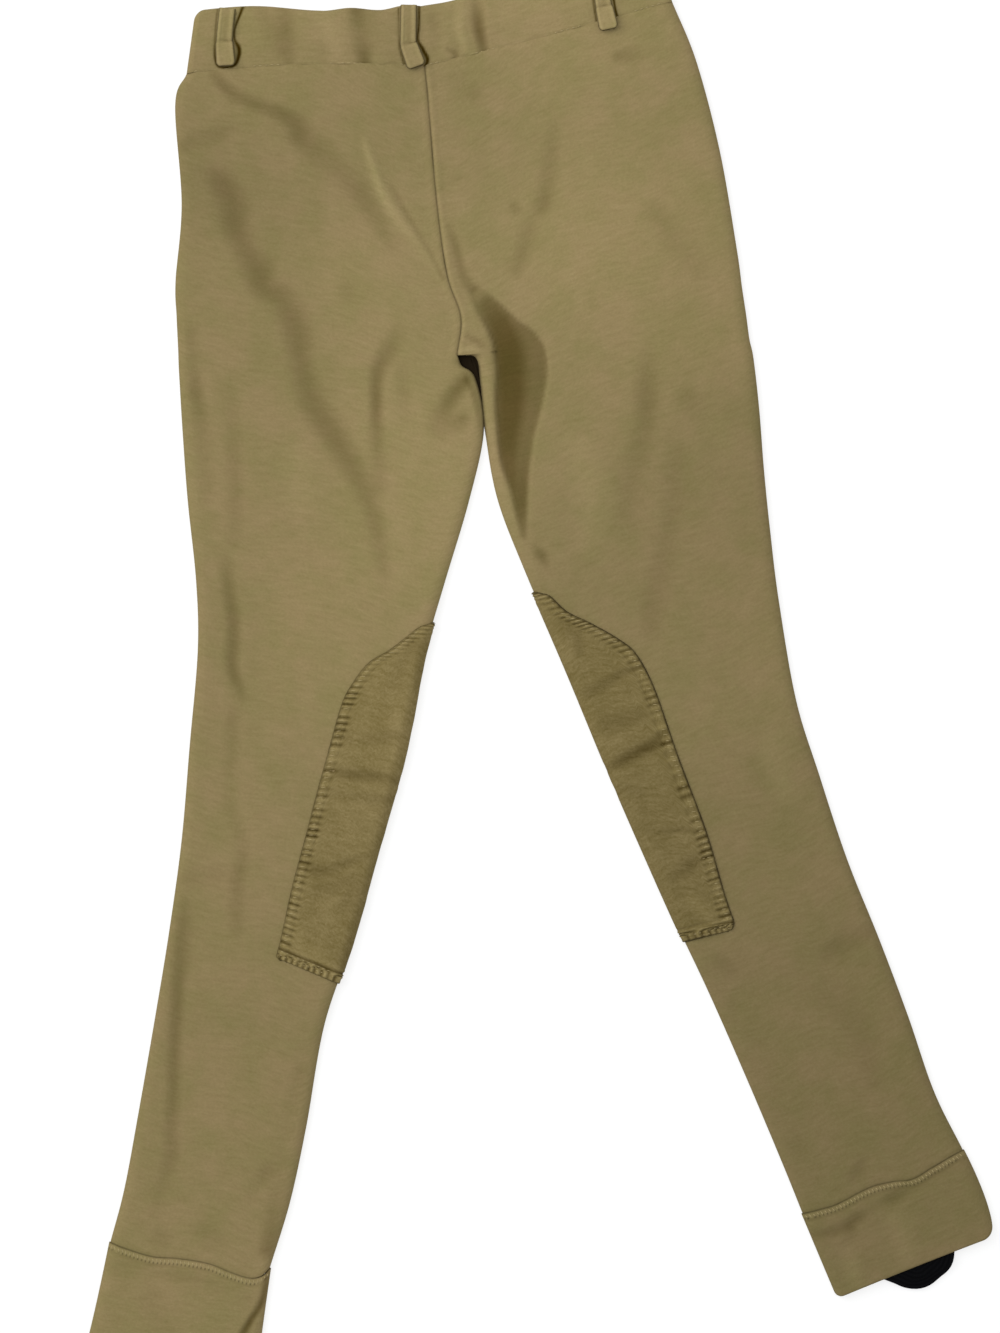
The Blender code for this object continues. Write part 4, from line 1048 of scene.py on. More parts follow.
RIGHT_PATCH_CREASES = lines_of_bends({
    "upper": (
        (56.3, -8.0, 4.0, 0.8, 0.52), (47.1, -10.9, 4.5, 0.9, 0.48), (36.8, -17.2, 6.0, 0.6, 0.42),
        (26.4, -22.4, 6.0, 0.4, 0.35),
    ),
    "middle": (
        (70.1, -47.7, 5.0, 1.1, 0.76), (62.1, -52.9, 6.0, 1.2, 1.15), (52.9, -56.9, 6.0, 1.1, 1.07),
        (43.7, -62.1, 5.0, 0.8, 0.86), (39.1, -64.4, 4.0, 0.4, 0.41),
    ),
    "lower": (
        (90.8, -101.2, 2.2, 0.5, 0.13), (80.5, -100.6, 2.4, 0.5, 0.62),
        (67.8, -101.8, 2.4, 0.4, 0.32), (56.3, -100.0, 2.2, 0.2, 0.09),
    ),
    "hollow": (
        (36.8, -40.8, 9.0, 0.5, 0.32), (44.8, -38.5, 9.0, 0.5, 0.41), (56.3, -35.1, 8.0, 0.4, 0.38),
    ),
    "hollow, side": (
        (46.0, -76.5, 6.0, 0.4, 0.32), (56.3, -78.8, 6.0, 0.2, 0.27),
    ),
    "hollow low": (
        (93.7, -115.6, 7.0, 0.7, 0.25), (85.1, -121.3, 8.0, 0.7, 0.61),
        (77.0, -127.1, 7.0, 0.4, 0.26),
    ),
    "near the tip": (
        (13.8, 19.0, 5.0, 0.4, 0.14), (19.5, 13.2, 7.0, 0.4, 0.4), (21.8, 2.9, 6.0, 0.2, 0.36),
    ),
    "lighter end": (
        (85.1, -140.9, 7.0, 0.0, -0.26), (94.3, -147.8, 8.0, 0.0, -0.34),
    ),
})
TIPS = {                         # the rounded top of each patch
    "left": (Patch(18.6, 0.5), Patch(17.2, 4.2)),
    "right": (Patch(36.2, 0.5), Patch(34.6, 4.6)),
}
PATCH_CORNERS = {"left": 1.6, "right": 4.5}      # radius of the corner at the lower end
RIM = 6.2                # width of the stitched rim
PUCKER = 3.9             # a pucker every 4 mm or so
PATCH_STEPS = 54         # columns over the flat part of a patch's top
PUCKER_EASE = 150.0      # above here the rim runs slantwise, and gathers less


def corner_cut(distance, radius):
    """How far a rounded corner draws an edge back, at a distance in from the side."""
    gone = np.clip(radius - distance, 0.0, radius)
    return radius - np.sqrt(radius * radius - gone * gone)


def patch_grid(leg, rows, flat_steps):
    """Rows from the lower end up, and the columns' distances in from the inner edge."""
    table = TIPS[leg.side] + leg.patch
    extra = len(table) - len(leg.patch)
    index = (len(table) - 1.0) * (1.0 - spaced(rows, 3.0, 3.0))
    edge_y = through([row.edge_y for row in table], index)
    reach = through([row.reach for row in table], index)
    reach = reach - corner_cut(edge_y - edge_y[0], PATCH_CORNERS[leg.side])
    turn = np.linspace(0.0, math.pi / 2.0, 9)
    over_roll = np.minimum(BACK_ROUND, reach)[:, None] * (1.0 - np.cos(turn[::-1]))
    # the columns are closest together at the rim, where the puckers are
    inwards = spaced(flat_steps + 1, 3.0, 0.0)[:-1]
    over_flat = reach[:, None] + (over_roll[:, :1] - reach[:, None]) * inwards
    under_roll = np.minimum(FRONT_ROUND, reach)[:, None] * (1.0 - np.cos(turn[1::2]))
    under_flat = np.linspace(under_roll[:, -1], reach, 15, axis=1)[:, 1:]
    over = np.concatenate([over_flat, over_roll], axis=1)
    under = np.concatenate([under_roll, under_flat], axis=1)
    tail = smooth((index - extra - (len(leg.patch) - 1.0 - PATCH_TAILS)) / PATCH_TAILS)[:, None]
    slope = PATCH_SLANTS[leg.side] * tail / reach[:, None]
    both = [leg.edge_row(edge_y[:, None] + slope * part) for part in (over, under)]
    return (over, both[0]), (under, both[1]), reach


def knee_patch(leg, creases, rows=250):
    """One patch: the leg's own surface, raised by the patch's thickness, with its puckered rim."""
    (over, over_at), (under, under_at), reach = patch_grid(leg, rows, PATCH_STEPS)
    whole_back = BACK._replace(line_gap=0.0)
    whole_front = FRONT._replace(line_gap=0.0)
    top, _, _ = skin(leg, whole_back, over_at, over, leg.creases)
    low, _, _ = skin(leg, whole_front, under_at, under, {})
    points = np.concatenate([top, low], axis=1)
    from_inner = np.concatenate([over, under], axis=1)
    # distance in from the rim: from its long side, which may run slantwise, and from its lower end
    along = lengths(points, 0)
    slant = np.gradient(reach) / np.maximum(np.gradient(along[:, 0]), 0.2)
    rim = (reach[:, None] - from_inner) / np.sqrt(1.0 + slant[:, None] ** 2)
    rim = np.minimum(rim, along)
    rim_run = along[:, :1] + 0.0 * rim
    ends = smooth((RIM - along) / 3.0)
    rim_run = rim_run * (1.0 - ends) + from_inner * ends
    strength = 0.95 + 0.30 * wobble(rim_run / 11.0, 2.0 + leg.seam_side)
    eased = smooth((along - PUCKER_EASE) / 25.0)
    strength = strength * (1.0 - (0.4 - 0.15 * leg.seam_side) * eased)
    wave = np.sin(2.0 * math.pi * rim_run / PUCKER + 1.6 * wobble(rim_run / 7.0, 3.0))
    band = smooth(rim / 0.9) * smooth((RIM + 3.5 - rim) / 4.5)
    relief = 0.60 * strength * wave * band
    near_rim = smooth((2.6 * RIM - rim) / (1.8 * RIM))
    relief = relief + 0.16 * wobble(rim_run / 1.1 + rim, 6.0) * near_rim
    relief = relief - 0.20 * bell(rim - RIM, 1.3) - 0.25 * bell(rim - 1.7, 0.9)
    relief = relief - 0.55 * (1.0 - dome(rim / 0.8))
    depth, shade = crease_field(points[..., 0], points[..., 1], creases)
    onto = np.concatenate([np.ones(over.shape), np.zeros(under.shape)], axis=1)
    relief = relief * (0.35 + 0.65 * onto) - depth * onto
    relief = relief + 0.15 * wobble(points[..., 0] / 5.0 + points[..., 1] / 9.0, 7.0) * onto
    out = points - leg.seam_side * normals(points) * (PATCH_LIFT + relief)[..., None]
    out[..., 2] = np.maximum(out[..., 2], np.where(onto > 0.5, 0.0, 0.05))
    # painted shadow along the patch's edge, stronger and wider on the right patch, whose edge faces
    # away from the light
    edge_shadow, wide = (0.62, 1.2) if leg.seam_side < 0 else (0.95, 1.8)
    mark = edge_shadow * bell(rim, wide) * (0.8 + 0.2 * wobble(rim_run / 5.0, 1.0))
    # the creases' painted shade lies on the top only, and shade is painted in the groove inside the
    # rim
    shade = shade * onto + 0.16 * bell(rim - RIM, 1.8) * strength
    # painted shade in the puckers' hollows and painted light on their crests
    hollow, rise = np.maximum(-wave, 0.0), np.maximum(wave, 0.0)
    shade = shade + strength * band * (1.45 * hollow ** 3 - 0.75 * rise)
    # a lighter band inside the edge, and shade painted along the rim where it runs slantwise at the
    # top
    shade = shade - 0.16 * bell(rim - 3.4, 2.4) * onto
    shade = shade + 0.22 * bell(rim - 1.2, 1.6) * eased * onto
    columns_run = slice(None, None, -leg.seam_side)      # from the left, whichever leg it is
    piece = sheet(f"cloth_patch_{leg.side}", out[:, columns_run], shade[:, columns_run],
                  PATCH_CLOTH, mark[:, columns_run])
    return piece, out, rim


patches = {}                     # each patch's points and rim, for its stitches
for leg, creases, area in ((LEFT, LEFT_PATCH_CREASES, 0.0168), (RIGHT, RIGHT_PATCH_CREASES, 0.0160)):
    piece, *patches[leg.side] = knee_patch(leg, creases)
    settle(piece, [f"knee_patch_{leg.side}"], patch_cloth)

# %% [markdown]
# ## The ankle cuffs
# Each cuff is a doubled band of the same knit, sewn round the end of the leg as a tube. The grid
# goes once round, so its first and last columns meet and their corners are merged.

# %% Cuffs
LEFT_CUFF_CREASES = lines_of_bends({
    "long": (
        (-157.5, -346.7, 2.5, 0.2, 0.5), (-158.7, -361.7, 3.0, 0.5, 0.8),
        (-161.6, -373.2, 3.2, 0.9, 1.2), (-166.8, -381.8, 3.4, 1.1, 1.3),
        (-171.3, -389.8, 4.0, 1.1, 1.2), (-176.5, -399.6, 5.0, 0.9, 0.8),
        (-180.5, -408.8, 6.0, 0.4, 0.3),
    ),
    "below the seam": (
        (-250.7, -350.2, 8.0, 0.18, 0.14), (-236.9, -352.5, 10.0, 0.3, 0.12),
        (-219.6, -355.9, 7.0, 0.36, 0.16), (-198.9, -359.4, 6.0, 0.3, 0.22),
        (-180.5, -366.3, 5.0, 0.24, 0.06), (-170.2, -370.9, 5.0, 0.12, 0.12),
    ),
    "middle": (
        (-225.4, -370.9, 12.0, 0.4, 0.14), (-213.9, -393.9, 12.0, 0.4, 0.08),
    ),
})
RIGHT_CUFF_CREASES = lines_of_bends({
    "below the seam": (
        (155.2, -334.1, 5.0, 0.4, 0.37), (170.2, -331.2, 6.0, 0.9, 0.47),
        (181.7, -324.3, 6.0, 0.8, 0.58), (188.6, -320.3, 5.0, 0.3, 0.21),
    ),
    "below the seam, outer": (
        (193.2, -316.8, 5.0, 0.3, 0.15), (201.8, -312.8, 7.0, 1.0, 0.43),
        (213.9, -307.0, 6.0, 0.7, 0.15), (225.4, -300.7, 5.0, 0.5, 0.16),
        (235.7, -294.4, 4.0, 0.3, 0.11),
    ),
    "toward the hem": (
        (178.2, -331.8, 7.0, 0.4, 0.31), (175.9, -345.6, 9.0, 0.5, -0.19),
        (180.5, -361.7, 8.0, 0.2, -0.28),
    ),
    "light rise": (
        (205.8, -326.0, 12.0, -0.4, -0.2), (210.4, -343.3, 12.0, -0.4, -0.2),
    ),
})
CUFF_STEPS = 190         # columns over the flat part of a cuff's top
CUFF_ROLLS = 15          # and over its two rolled edges
CUFF_PITCH = 2.3         # a tick of cover stitch every 2.3 mm


def cuff(leg, creases, rows=52):
    """One cuff: the band over the leg's end and the band under it, joined to a closed tube."""
    top_outer, top_inner, top_bow = (part[0] for part in leg.ends("back", np.array([leg.last])))
    hem = leg.hem
    hem_outer = np.array([hem.outer_x, hem.outer_y])
    hem_inner = np.array([hem.inner_x, hem.inner_y])
    down = (hem_outer + hem_inner) - (top_outer + top_inner)
    down = down / np.linalg.norm(down)
    share = 1.0 - spaced(rows, 2.0, 5.0)[:, None]
    start = top_outer + (hem_outer - top_outer) * share
    end = top_inner + (hem_inner - top_inner) * share
    apart = (end - start) / np.linalg.norm(end - start, axis=1, keepdims=True)
    bulge = 4.0 * share * (1.0 - share)
    start = start - apart * (CUFF_STEP + (hem.belly - CUFF_STEP) * bulge)
    end = end + apart * CUFF_STEP
    width = np.linalg.norm(end - start, axis=1)
    turn = np.linspace(0.0, math.pi / 2.0, 8)
    halves = []
    for half, steps in ((BACK, CUFF_STEPS), (FRONT, CUFF_STEPS // 3)):
        from_start = width[:, None] - columns(width, half, len(turn) - 1, steps)
        across = from_start / width[:, None]
        x = start[:, :1] + (end - start)[:, :1] * across
        y = start[:, 1:] + (end - start)[:, 1:] * across
        y = y + (top_bow + (hem.bow - top_bow) * share) * 4.0 * across * (1.0 - across)
        y = y - leg.cuff_dip(across) * smooth(1.0 - share * 1.6) ** 2
        cut = corner_cut(from_start, hem.outer_corner)
        cut = cut + corner_cut(width[:, None] - from_start, hem.inner_corner)
        x = x - down[0] * cut * share ** 4
        y = y - down[1] * cut * share ** 4
        rise = dome(from_start / half.round) * dome((width[:, None] - from_start) / half.round)
        level = BACK_TOP if half.up > 0 else 0.0
        z = FOLD_LINE + (level - FOLD_LINE) * rise
        halves.append((np.stack([x, y, z], axis=-1), rise))
    over, over_rise = halves[0]
    under, under_rise = halves[1]
    points = np.concatenate([over, under[:, ::-1][:, 1:]], axis=1)
    rise = np.concatenate([over_rise, -under_rise[:, ::-1][:, 1:]], axis=1)
    points[:, -1] = points[:, 0]
    from_hem = lengths(points, 0)
    from_seam = from_hem[-1:] - from_hem
    depth, shade = crease_field(points[..., 0], points[..., 1], creases)
    depth = depth * (rise > 0.0)
    sink = depth + 0.45 * bell(from_seam, 1.6) + 0.25 * bell(from_seam - 4.6, 1.3)
    sink = sink + 0.8 * (1.0 - dome(from_hem / 1.2))
    sink = sink + 0.20 * wobble(points[..., 0] / 2.3, 3.0) * bell(from_seam, 8.0)
    points[..., 2] -= sink * rise
    mark = 0.45 * bell(from_seam, 0.8)
    # painted shadow in the needle holes between the ticks of cover stitch
    edge = lengths(over[-1:], 1)[0]
    edge = edge[-1] - edge if leg.seam_side > 0 else edge
    holes = np.maximum(-np.cos(2.0 * math.pi * (edge - 3.0) / CUFF_PITCH), 0.0) ** 2
    mark[:, :len(edge)] += 0.85 * bell(from_seam[:, :len(edge)] - 3.3, 1.0) * holes
    shade = shade * (rise > 0.0)
    # the band of stitches below the seam is lighter, and shade is painted in a line below it
    shade = shade + 0.22 * bell(from_seam - 4.8, 1.3) - 0.34 * bell(from_seam - 2.4, 1.9)
    if leg.seam_side > 0:
        points, shade, mark = points[:, ::-1], shade[:, ::-1], mark[:, ::-1]
    piece = sheet(f"cloth_cuff_{leg.side}", points, shade, CUFF_WALL, mark, closed=True)
    return piece, points


cuffs = {}                       # each cuff's points, for its stitches
for leg, creases, cut in ((LEFT, LEFT_CUFF_CREASES, (0.195, 0.056)),
                          (RIGHT, RIGHT_CUFF_CREASES, (0.205, 0.053))):
    piece, cuffs[leg.side] = cuff(leg, creases)
    settle(piece, [f"cuff_{leg.side}"], knit)

# %% [markdown]
# ## The waistband
# The waistband is a casing of doubled knit round a wide elastic. The elastic pulls it in, so its
# top edge waves a little and soft upright creases stand in it. Its height and its lean change
# along the garment, and come from a short table.

# %% Waistband
Band = namedtuple("Band", "x lean height")
WAISTBAND = (
    Band(-204.5, 8.0, 36.0),
    Band(-168.0, 4.0, 35.0),
    Band(-128.0, 1.0, 30.5),
    Band(-110.0, 0.0, 32.0),
    Band(-93.0, 0.0, 31.0),
    Band(-76.0, -2.0, 34.5),
    Band(-50.0, -6.0, 33.0),
    Band(35.0, -12.0, 33.0),
    Band(75.0, -18.0, 32.0),
)
BAND_CORNER = 6.0
WAIST_LAP = 0.5          # the band's foot lies this far over the panels' edge
FRONT_LOOP_X = {"belt_loop_front_left": -122.0, "belt_loop_front_right": -2.0}
# The band's creases carry painted shade, and a negative shade paints light on its rises.
BAND_CREASES = lines_of_bends({
    "left, slight": (
        (-148.3, 375.5, 9.0, 0.5, 0.2), (-147.2, 359.4, 9.0, 0.5, 0.55),
        (-146.0, 341.0, 8.0, 0.3, 0.39),
    ),
    "left of the centre": (
        (-106.4, 373.2, 8.0, 0.9, 0.9), (-103.5, 357.1, 9.0, 1.1, 0.4),
        (-101.8, 341.0, 7.0, 0.8, 0.92),
    ),
    "left of the centre, wide": (
        (-96.6, 374.3, 8.0, 0.4, 0.12), (-95.4, 357.1, 8.0, 0.4, 0.1),
        (-96.6, 342.1, 7.0, 0.3, -0.04),
    ),
    "right of the centre": (
        (-36.8, 376.6, 5.5, 1.3, 0.16), (-36.2, 361.7, 6.0, 1.4, 1.07),
        (-33.3, 347.9, 5.0, 0.9, 0.81), (-31.0, 339.8, 6.0, 0.4, 0.58),
    ),
    "rise beside it": (
        (-46.0, 374.3, 5.5, -0.7, -0.12), (-46.6, 359.4, 5.5, -0.7, -0.34),
        (-43.7, 347.9, 4.0, -0.5, -0.42),
    ),
    "beside the centre loop, soft": (
        (-62.1, 365.1, 6.0, 0.5, 0.29), (-58.6, 351.3, 6.0, 0.5, -0.03),
    ),
    "tuck": (
        (-54.0, 347.9, 2.4, 0.5, 0.34), (-49.4, 345.6, 2.8, 0.8, 0.62),
        (-50.6, 341.0, 2.6, 0.4, 0.4),
    ),
    "light pucker": (
        (-40.2, 344.4, 2.6, -0.4, -0.4), (-36.8, 343.8, 2.4, -0.3, -0.3),
    ),
    "seam pucker": (
        (-90.8, 338.7, 2.0, 0.3, 0.22), (-83.9, 339.8, 2.0, 0.3, 0.22),
    ),
    "light pucker, left": (
        (-116.1, 339.2, 2.2, -0.4, -0.42), (-110.4, 339.8, 2.2, -0.3, -0.3),
    ),
    # These rows paint the shadows that the belt loops cast on the band beside them and under their
    # feet.
    "left loop, right side": (
        (-171.9, 372.0, 1.87, 0.3, 1.86), (-173.6, 367.4, 1.53, 0.3, 2.02),
        (-176.5, 359.4, 1.1, 0.3, 1.71), (-176.5, 353.6, 1.36, 0.3, 1.86),
        (-174.2, 349.0, 2.21, 0.5, 2.33), (-174.2, 344.4, 2.04, 0.5, 2.33),
        (-176.5, 339.2, 1.53, 0.4, 2.02), (-181.7, 337.5, 1.19, 0.3, 1.86),
    ),
    "left loop, left side": (
        (-186.2, 372.0, 1.0, 0.2, 0.93), (-187.1, 362.8, 1.0, 0.2, 0.93),
        (-187.7, 353.6, 1.1, 0.2, 1.08), (-187.9, 344.4, 1.3, 0.3, 1.71),
        (-186.3, 338.7, 1.3, 0.3, 1.86), (-181.7, 337.5, 1.3, 0.3, 1.86),
    ),
    "centre loop, right side": (
        (-70.4, 373.2, 1.27, 0.3, 2.02), (-70.7, 361.7, 1.19, 0.3, 2.02),
        (-71.3, 353.6, 1.36, 0.3, 2.02), (-68.4, 347.9, 1.87, 0.4, 2.33),
        (-65.8, 342.1, 2.04, 0.5, 2.33), (-68.4, 337.5, 1.36, 0.4, 1.86),
        (-74.8, 335.5, 1.19, 0.3, 1.71),
    ),
    "centre loop, left side": (
        (-82.3, 371.4, 1.0, 0.2, 1.4), (-82.5, 360.5, 0.9, 0.2, 0.78),
        (-81.9, 350.2, 1.0, 0.3, 1.24), (-80.2, 343.3, 1.2, 0.3, 1.4),
        (-78.0, 336.9, 1.3, 0.3, 1.71), (-74.8, 335.5, 1.3, 0.3, 1.71),
    ),
    "right loop, sides": (
        (29.0, 380.1, 1.02, 0.2, 1.4), (30.2, 370.9, 1.1, 0.2, 1.4), (32.2, 361.7, 1.1, 0.3, 1.55),
        (35.6, 357.6, 1.19, 0.3, 2.02), (40.2, 358.2, 1.19, 0.3, 1.86),
        (44.3, 362.2, 1.36, 0.4, 2.17), (42.5, 369.7, 1.27, 0.3, 2.02),
        (40.8, 378.9, 1.19, 0.3, 2.02),
    ),
    "shade by the left loop": (
        (-161.0, 370.9, 7.0, 0.2, 0.22), (-155.2, 357.1, 8.0, 0.2, 0.26),
        (-152.9, 344.4, 7.0, 0.1, 0.14),
    ),
    "full part": (
        (-126.5, 369.7, 9.0, -0.2, -0.22), (-119.6, 354.8, 9.0, -0.3, -0.26),
        (-117.3, 344.4, 7.0, -0.1, -0.12),
    ),
})


def band_height(x):
    """The waistband's height along X, as a smooth line."""
    rows = np.interp(x, [row.x for row in WAISTBAND], np.arange(len(WAISTBAND)))
    return through([row.height for row in WAISTBAND], rows)


def band_lean(x):
    """How far the waistband leans to the right along X, in radians."""
    return np.radians(np.interp(x, [row.x for row in WAISTBAND], [row.lean for row in WAISTBAND]))


def seam_run(half, count):
    """Points along the waist seam, from the left side to the right side."""
    runs = []
    for leg in (LEFT, RIGHT):
        at = np.zeros((1, 160))
        outer, inner, _ = leg.ends(half.face, at[:, :1])
        width = np.linalg.norm(inner - outer, axis=-1)
        from_inner = width * np.linspace(1.0, 0.0, 160)[None, :]
        points = skin(leg, half, at, from_inner, {})[0][0]
        runs.append(points[:, :2] if leg is LEFT else points[::-1, :2])
    run = np.concatenate(runs)
    length = np.concatenate([[0.0], np.cumsum(np.linalg.norm(np.diff(run, axis=0), axis=1))])
    want = length[-1] * spaced(count, 5.0, 5.0)
    return np.stack([np.interp(want, length, run[:, k]) for k in (0, 1)], axis=-1)


def waistband(half, name, rows, count, wall):
    """One half of the casing, from its foot in the waist seam to its folded top edge."""
    foot = seam_run(half, count)
    share = spaced(rows, 4.0, 4.0)[:, None]
    lean = band_lean(foot[:, 0])
    tall = band_height(foot[:, 0])
    from_left = np.linalg.norm(foot - foot[0], axis=1)
    from_right = np.linalg.norm(foot - foot[-1], axis=1)
    cut = corner_cut(np.minimum(from_left, from_right), BAND_CORNER)
    height = tall - cut * smooth(share * 2.0 - 1.0)
    x = foot[:, 0] + np.sin(lean) * height * share
    y = foot[:, 1] + np.cos(lean) * height * share - WAIST_LAP * (1.0 - share)
    up_run = height * share
    rise = dome(from_left / CASING_ROUND) * dome(from_right / CASING_ROUND)
    line = CASING_LINE + half.line_gap
    if half.up > 0:
        depth, shade = crease_field(x, y, BAND_CREASES)
        depth = depth + 0.22 * wobble(x / 4.3, 1.0) * bell(up_run, 9.0)
        depth = depth + 0.30 * wobble(x / 9.0, 2.5) * smooth(up_run / 8.0)
        level = CASING_TOP - depth - 1.6 * bell(up_run, 15.0) - 0.35 * bell(up_run, 1.8)
    else:
        shade = np.zeros(x.shape)
        near = np.minimum(*(np.abs(x - loop_x) for loop_x in FRONT_LOOP_X.values()))
        level = FRONT_LOOP_LIFT * smooth((34.0 - near) / 18.0) + 0.5 * bell(up_run, 4.0)
    level = line + (level - line) * dome((height - up_run) / 3.2 + 0.04)
    z = line + (level - line) * rise
    points = np.stack([x, y, z], axis=-1)
    mark = 0.05 * bell(up_run, 1.2) * (0.6 + 0.4 * wobble(x / 4.0, 2.0))
    piece = sheet(name, points, shade, wall, mark, up=half.up > 0)
    return piece, points


band_back, band_points = waistband(BACK, "cloth_waistband_back", 50, 480, CASING_SKIN)
band_front, _ = waistband(FRONT, "cloth_waistband_front", 16, 140, CASING_SKIN)
settle(band_back, ["waistband_back"], knit)
settle(band_front, ["waistband_front"], knit)

# %% [markdown]
# ## The belt loops
# A belt loop is a narrow strip with its raw edges folded in, so its two sides are pressed ridges
# with a flatter middle. It arches a little over the waistband, is tacked down below the belt, and
# its foot is turned under.

# %% Belt loops
Loop = namedtuple("Loop", "name top_x top_y tack_x tack_y foot_x foot_y")
BACK_LOOPS = (
    Loop("belt_loop_back_left", -180.6, 371.5, -182.4, 352.5, -181.4, 338.0),
    Loop("belt_loop_centre_back", -76.5, 373.5, -76.8, 351.0, -71.8, 337.5),
    Loop("belt_loop_back_right", 31.5, 393.0, 35.5, 372.5, 38.5, 359.0),
)
LOOP_TACK = 0.62         # where a loop is tacked down, as a share of its length
LOOP_CLOTH = 1.0


def ribbon(path, side, wide, profile):
    """A grid of points along a path: path and side are rows of vectors, profile is height across."""
    across = np.linspace(-0.5, 0.5, profile.shape[1])
    points = path[:, None, :] + side[:, None, :] * (across[None, :, None] * wide[:, None, None])
    points[..., 2] += profile
    return points


def back_loop(loop, rows=72, cols=23):
    """One loop over the back: its arch, its tack line and its turned-under foot."""
    stops = np.array([loop[1:3], loop[3:5], loop[5:7]])
    share = 1.0 - spaced(rows, 6.0, 3.0)
    plan = np.stack([np.interp(share, [0.0, LOOP_TACK, 1.0], stops[:, k]) for k in (0, 1)],
                    axis=-1)
    long = np.linalg.norm(stops[1] - stops[0]) + np.linalg.norm(stops[2] - stops[1])
    arch = 1.5 * np.sin(math.pi * np.clip(share / LOOP_TACK, 0.0, 1.0))
    doubled = 0.8 * smooth((share - LOOP_TACK) / 0.06)
    z = CASING_TOP + SEAM + 1.1 + arch + doubled
    z = z - 1.6 * (1.0 - dome(share / 0.05)) - 1.4 * (1.0 - dome((1.0 - share) / 0.05))
    z = z - 0.5 * bell(share - LOOP_TACK, 0.035)
    path = np.concatenate([plan, z[:, None]], axis=1)
    run = np.gradient(plan, axis=0)
    run = run / np.linalg.norm(run, axis=1, keepdims=True)
    side = np.stack([run[:, 1], -run[:, 0], np.zeros(rows)], axis=-1)
    wide = np.interp(share, [0.0, 0.6, 0.66, 1.0], [9.4, 9.6, 10.4, 11.2])
    wide = wide - 2.0 * corner_cut((1.0 - share) * long, 2.6)        # the foot has round corners
    off = np.abs(np.linspace(-0.5, 0.5, cols))[None, :] * wide[:, None]
    in_from_edge = wide[:, None] / 2.0 - off
    ridge = 0.45 * bell(in_from_edge - 1.7, 1.5) * (1.0 - 0.6 * (share > LOOP_TACK))[:, None]
    edge = -0.8 * (1.0 - dome(in_from_edge / 1.0))
    points = ribbon(path, side, wide, ridge + edge)
    from_foot = ((1.0 - share) * long)[:, None] + 0.0 * off
    # painted shade in the loop's flatter middle above the tack, painted light on its pressed ridges,
    # and the whole loop a little lighter
    shade = 0.34 * bell(off, 2.6) * (share < LOOP_TACK)[:, None]
    shade = shade - 0.30 * bell(in_from_edge - 1.4, 1.3) - 0.20
    # painted shadow along the loop's edges and round its foot, and a darker tack line
    mark = 0.85 * bell(np.minimum(in_from_edge, from_foot), 0.75)
    mark = mark + 0.16 * bell(share - LOOP_TACK, 0.03)[:, None]
    return sheet("cloth_" + loop.name, points, shade, LOOP_CLOTH, mark)


for loop in BACK_LOOPS:
    made = back_loop(loop)
    settle(made, [loop.name], knit)

# %% Front belt loops, pressed flat under the waistband
FRONT_LOOP_ROWS = 30
for loop_name, loop_x in FRONT_LOOP_X.items():
    low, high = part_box(loop_name)
    foot = seam_run(FRONT, 300)
    foot_y = np.interp(loop_x, foot[:, 0], foot[:, 1])
    lean = band_lean(loop_x)
    tall = band_height(np.array([loop_x]))[0]
    run = tall * np.linspace(0.96, 0.04, FRONT_LOOP_ROWS)
    plan = np.stack([loop_x + math.sin(lean) * run, foot_y + math.cos(lean) * run], axis=-1)
    level = np.zeros((FRONT_LOOP_ROWS, 1))
    path = np.concatenate([plan[::-1], level], axis=1)
    side = np.tile([math.cos(lean), -math.sin(lean), 0.0], (FRONT_LOOP_ROWS, 1))
    off = np.abs(np.linspace(-0.5, 0.5, 13))[None, :] * LOOP_WIDTH
    pressed = 0.15 * bell(off, 2.5) + 0.3 * (1.0 - dome((LOOP_WIDTH / 2.0 - off) / 0.8)) + level
    points = ribbon(path, side, np.full(FRONT_LOOP_ROWS, LOOP_WIDTH), pressed)
    made = sheet("cloth_" + loop_name, points, None, LOOP_CLOTH - 0.1, up=False)
    settle(made, [loop_name], knit)
    print(loop_name, "CAD box:", [round(c, 4) for c in (*low, *high)])

# %% [markdown]
# ## The elastic under the foot
# A black woven elastic goes under the foot and keeps the leg of the breeches down. Its two ends
# are sewn inside the cuff, and only its bend shows below the hem. Woven elastic has fine ribs
# across it, about 1.2 mm apart, and a dull sheen from its polyester yarn.

# %% Elastic material and straps
def woven_elastic():
    """Black elastic: dark ribs along the strap, roughened by the yarn."""
    made, tree, shader = blank("woven_polyester_elastic", "#070708", 0.9)
    grain = add(tree, "ShaderNodeUVMap", uv_map="cloth")
    ribs = add(tree, "ShaderNodeTexWave", {"Scale": 130.0, "Distortion": 0.4, "Detail": 1.0},
               {"Vector": grain.outputs["UV"]}, wave_type="BANDS", bands_direction="X")
    yarn = add(tree, "ShaderNodeTexNoise", {"Scale": 900.0, "Detail": 1.0},
               {"Vector": grain.outputs["UV"]})
    both = add(tree, "ShaderNodeMath", {}, {0: ribs.outputs["Fac"], 1: yarn.outputs["Fac"]},
               operation="MULTIPLY")
    colour = add(tree, "ShaderNodeMix", {6: linear("#020203"), 7: linear("#0C0C0E")},
                 {0: both.outputs[0]}, data_type="RGBA")
    tree.links.new(colour.outputs[2], shader.inputs["Base Color"])
    bump = add(tree, "ShaderNodeBump", {"Strength": 1.0, "Distance": 0.2 * MM},
               {"Height": ribs.outputs["Fac"]})
    tree.links.new(bump.outputs["Normal"], shader.inputs["Normal"])
    shader.inputs["Specular IOR Level"].default_value = 0.08
    return made


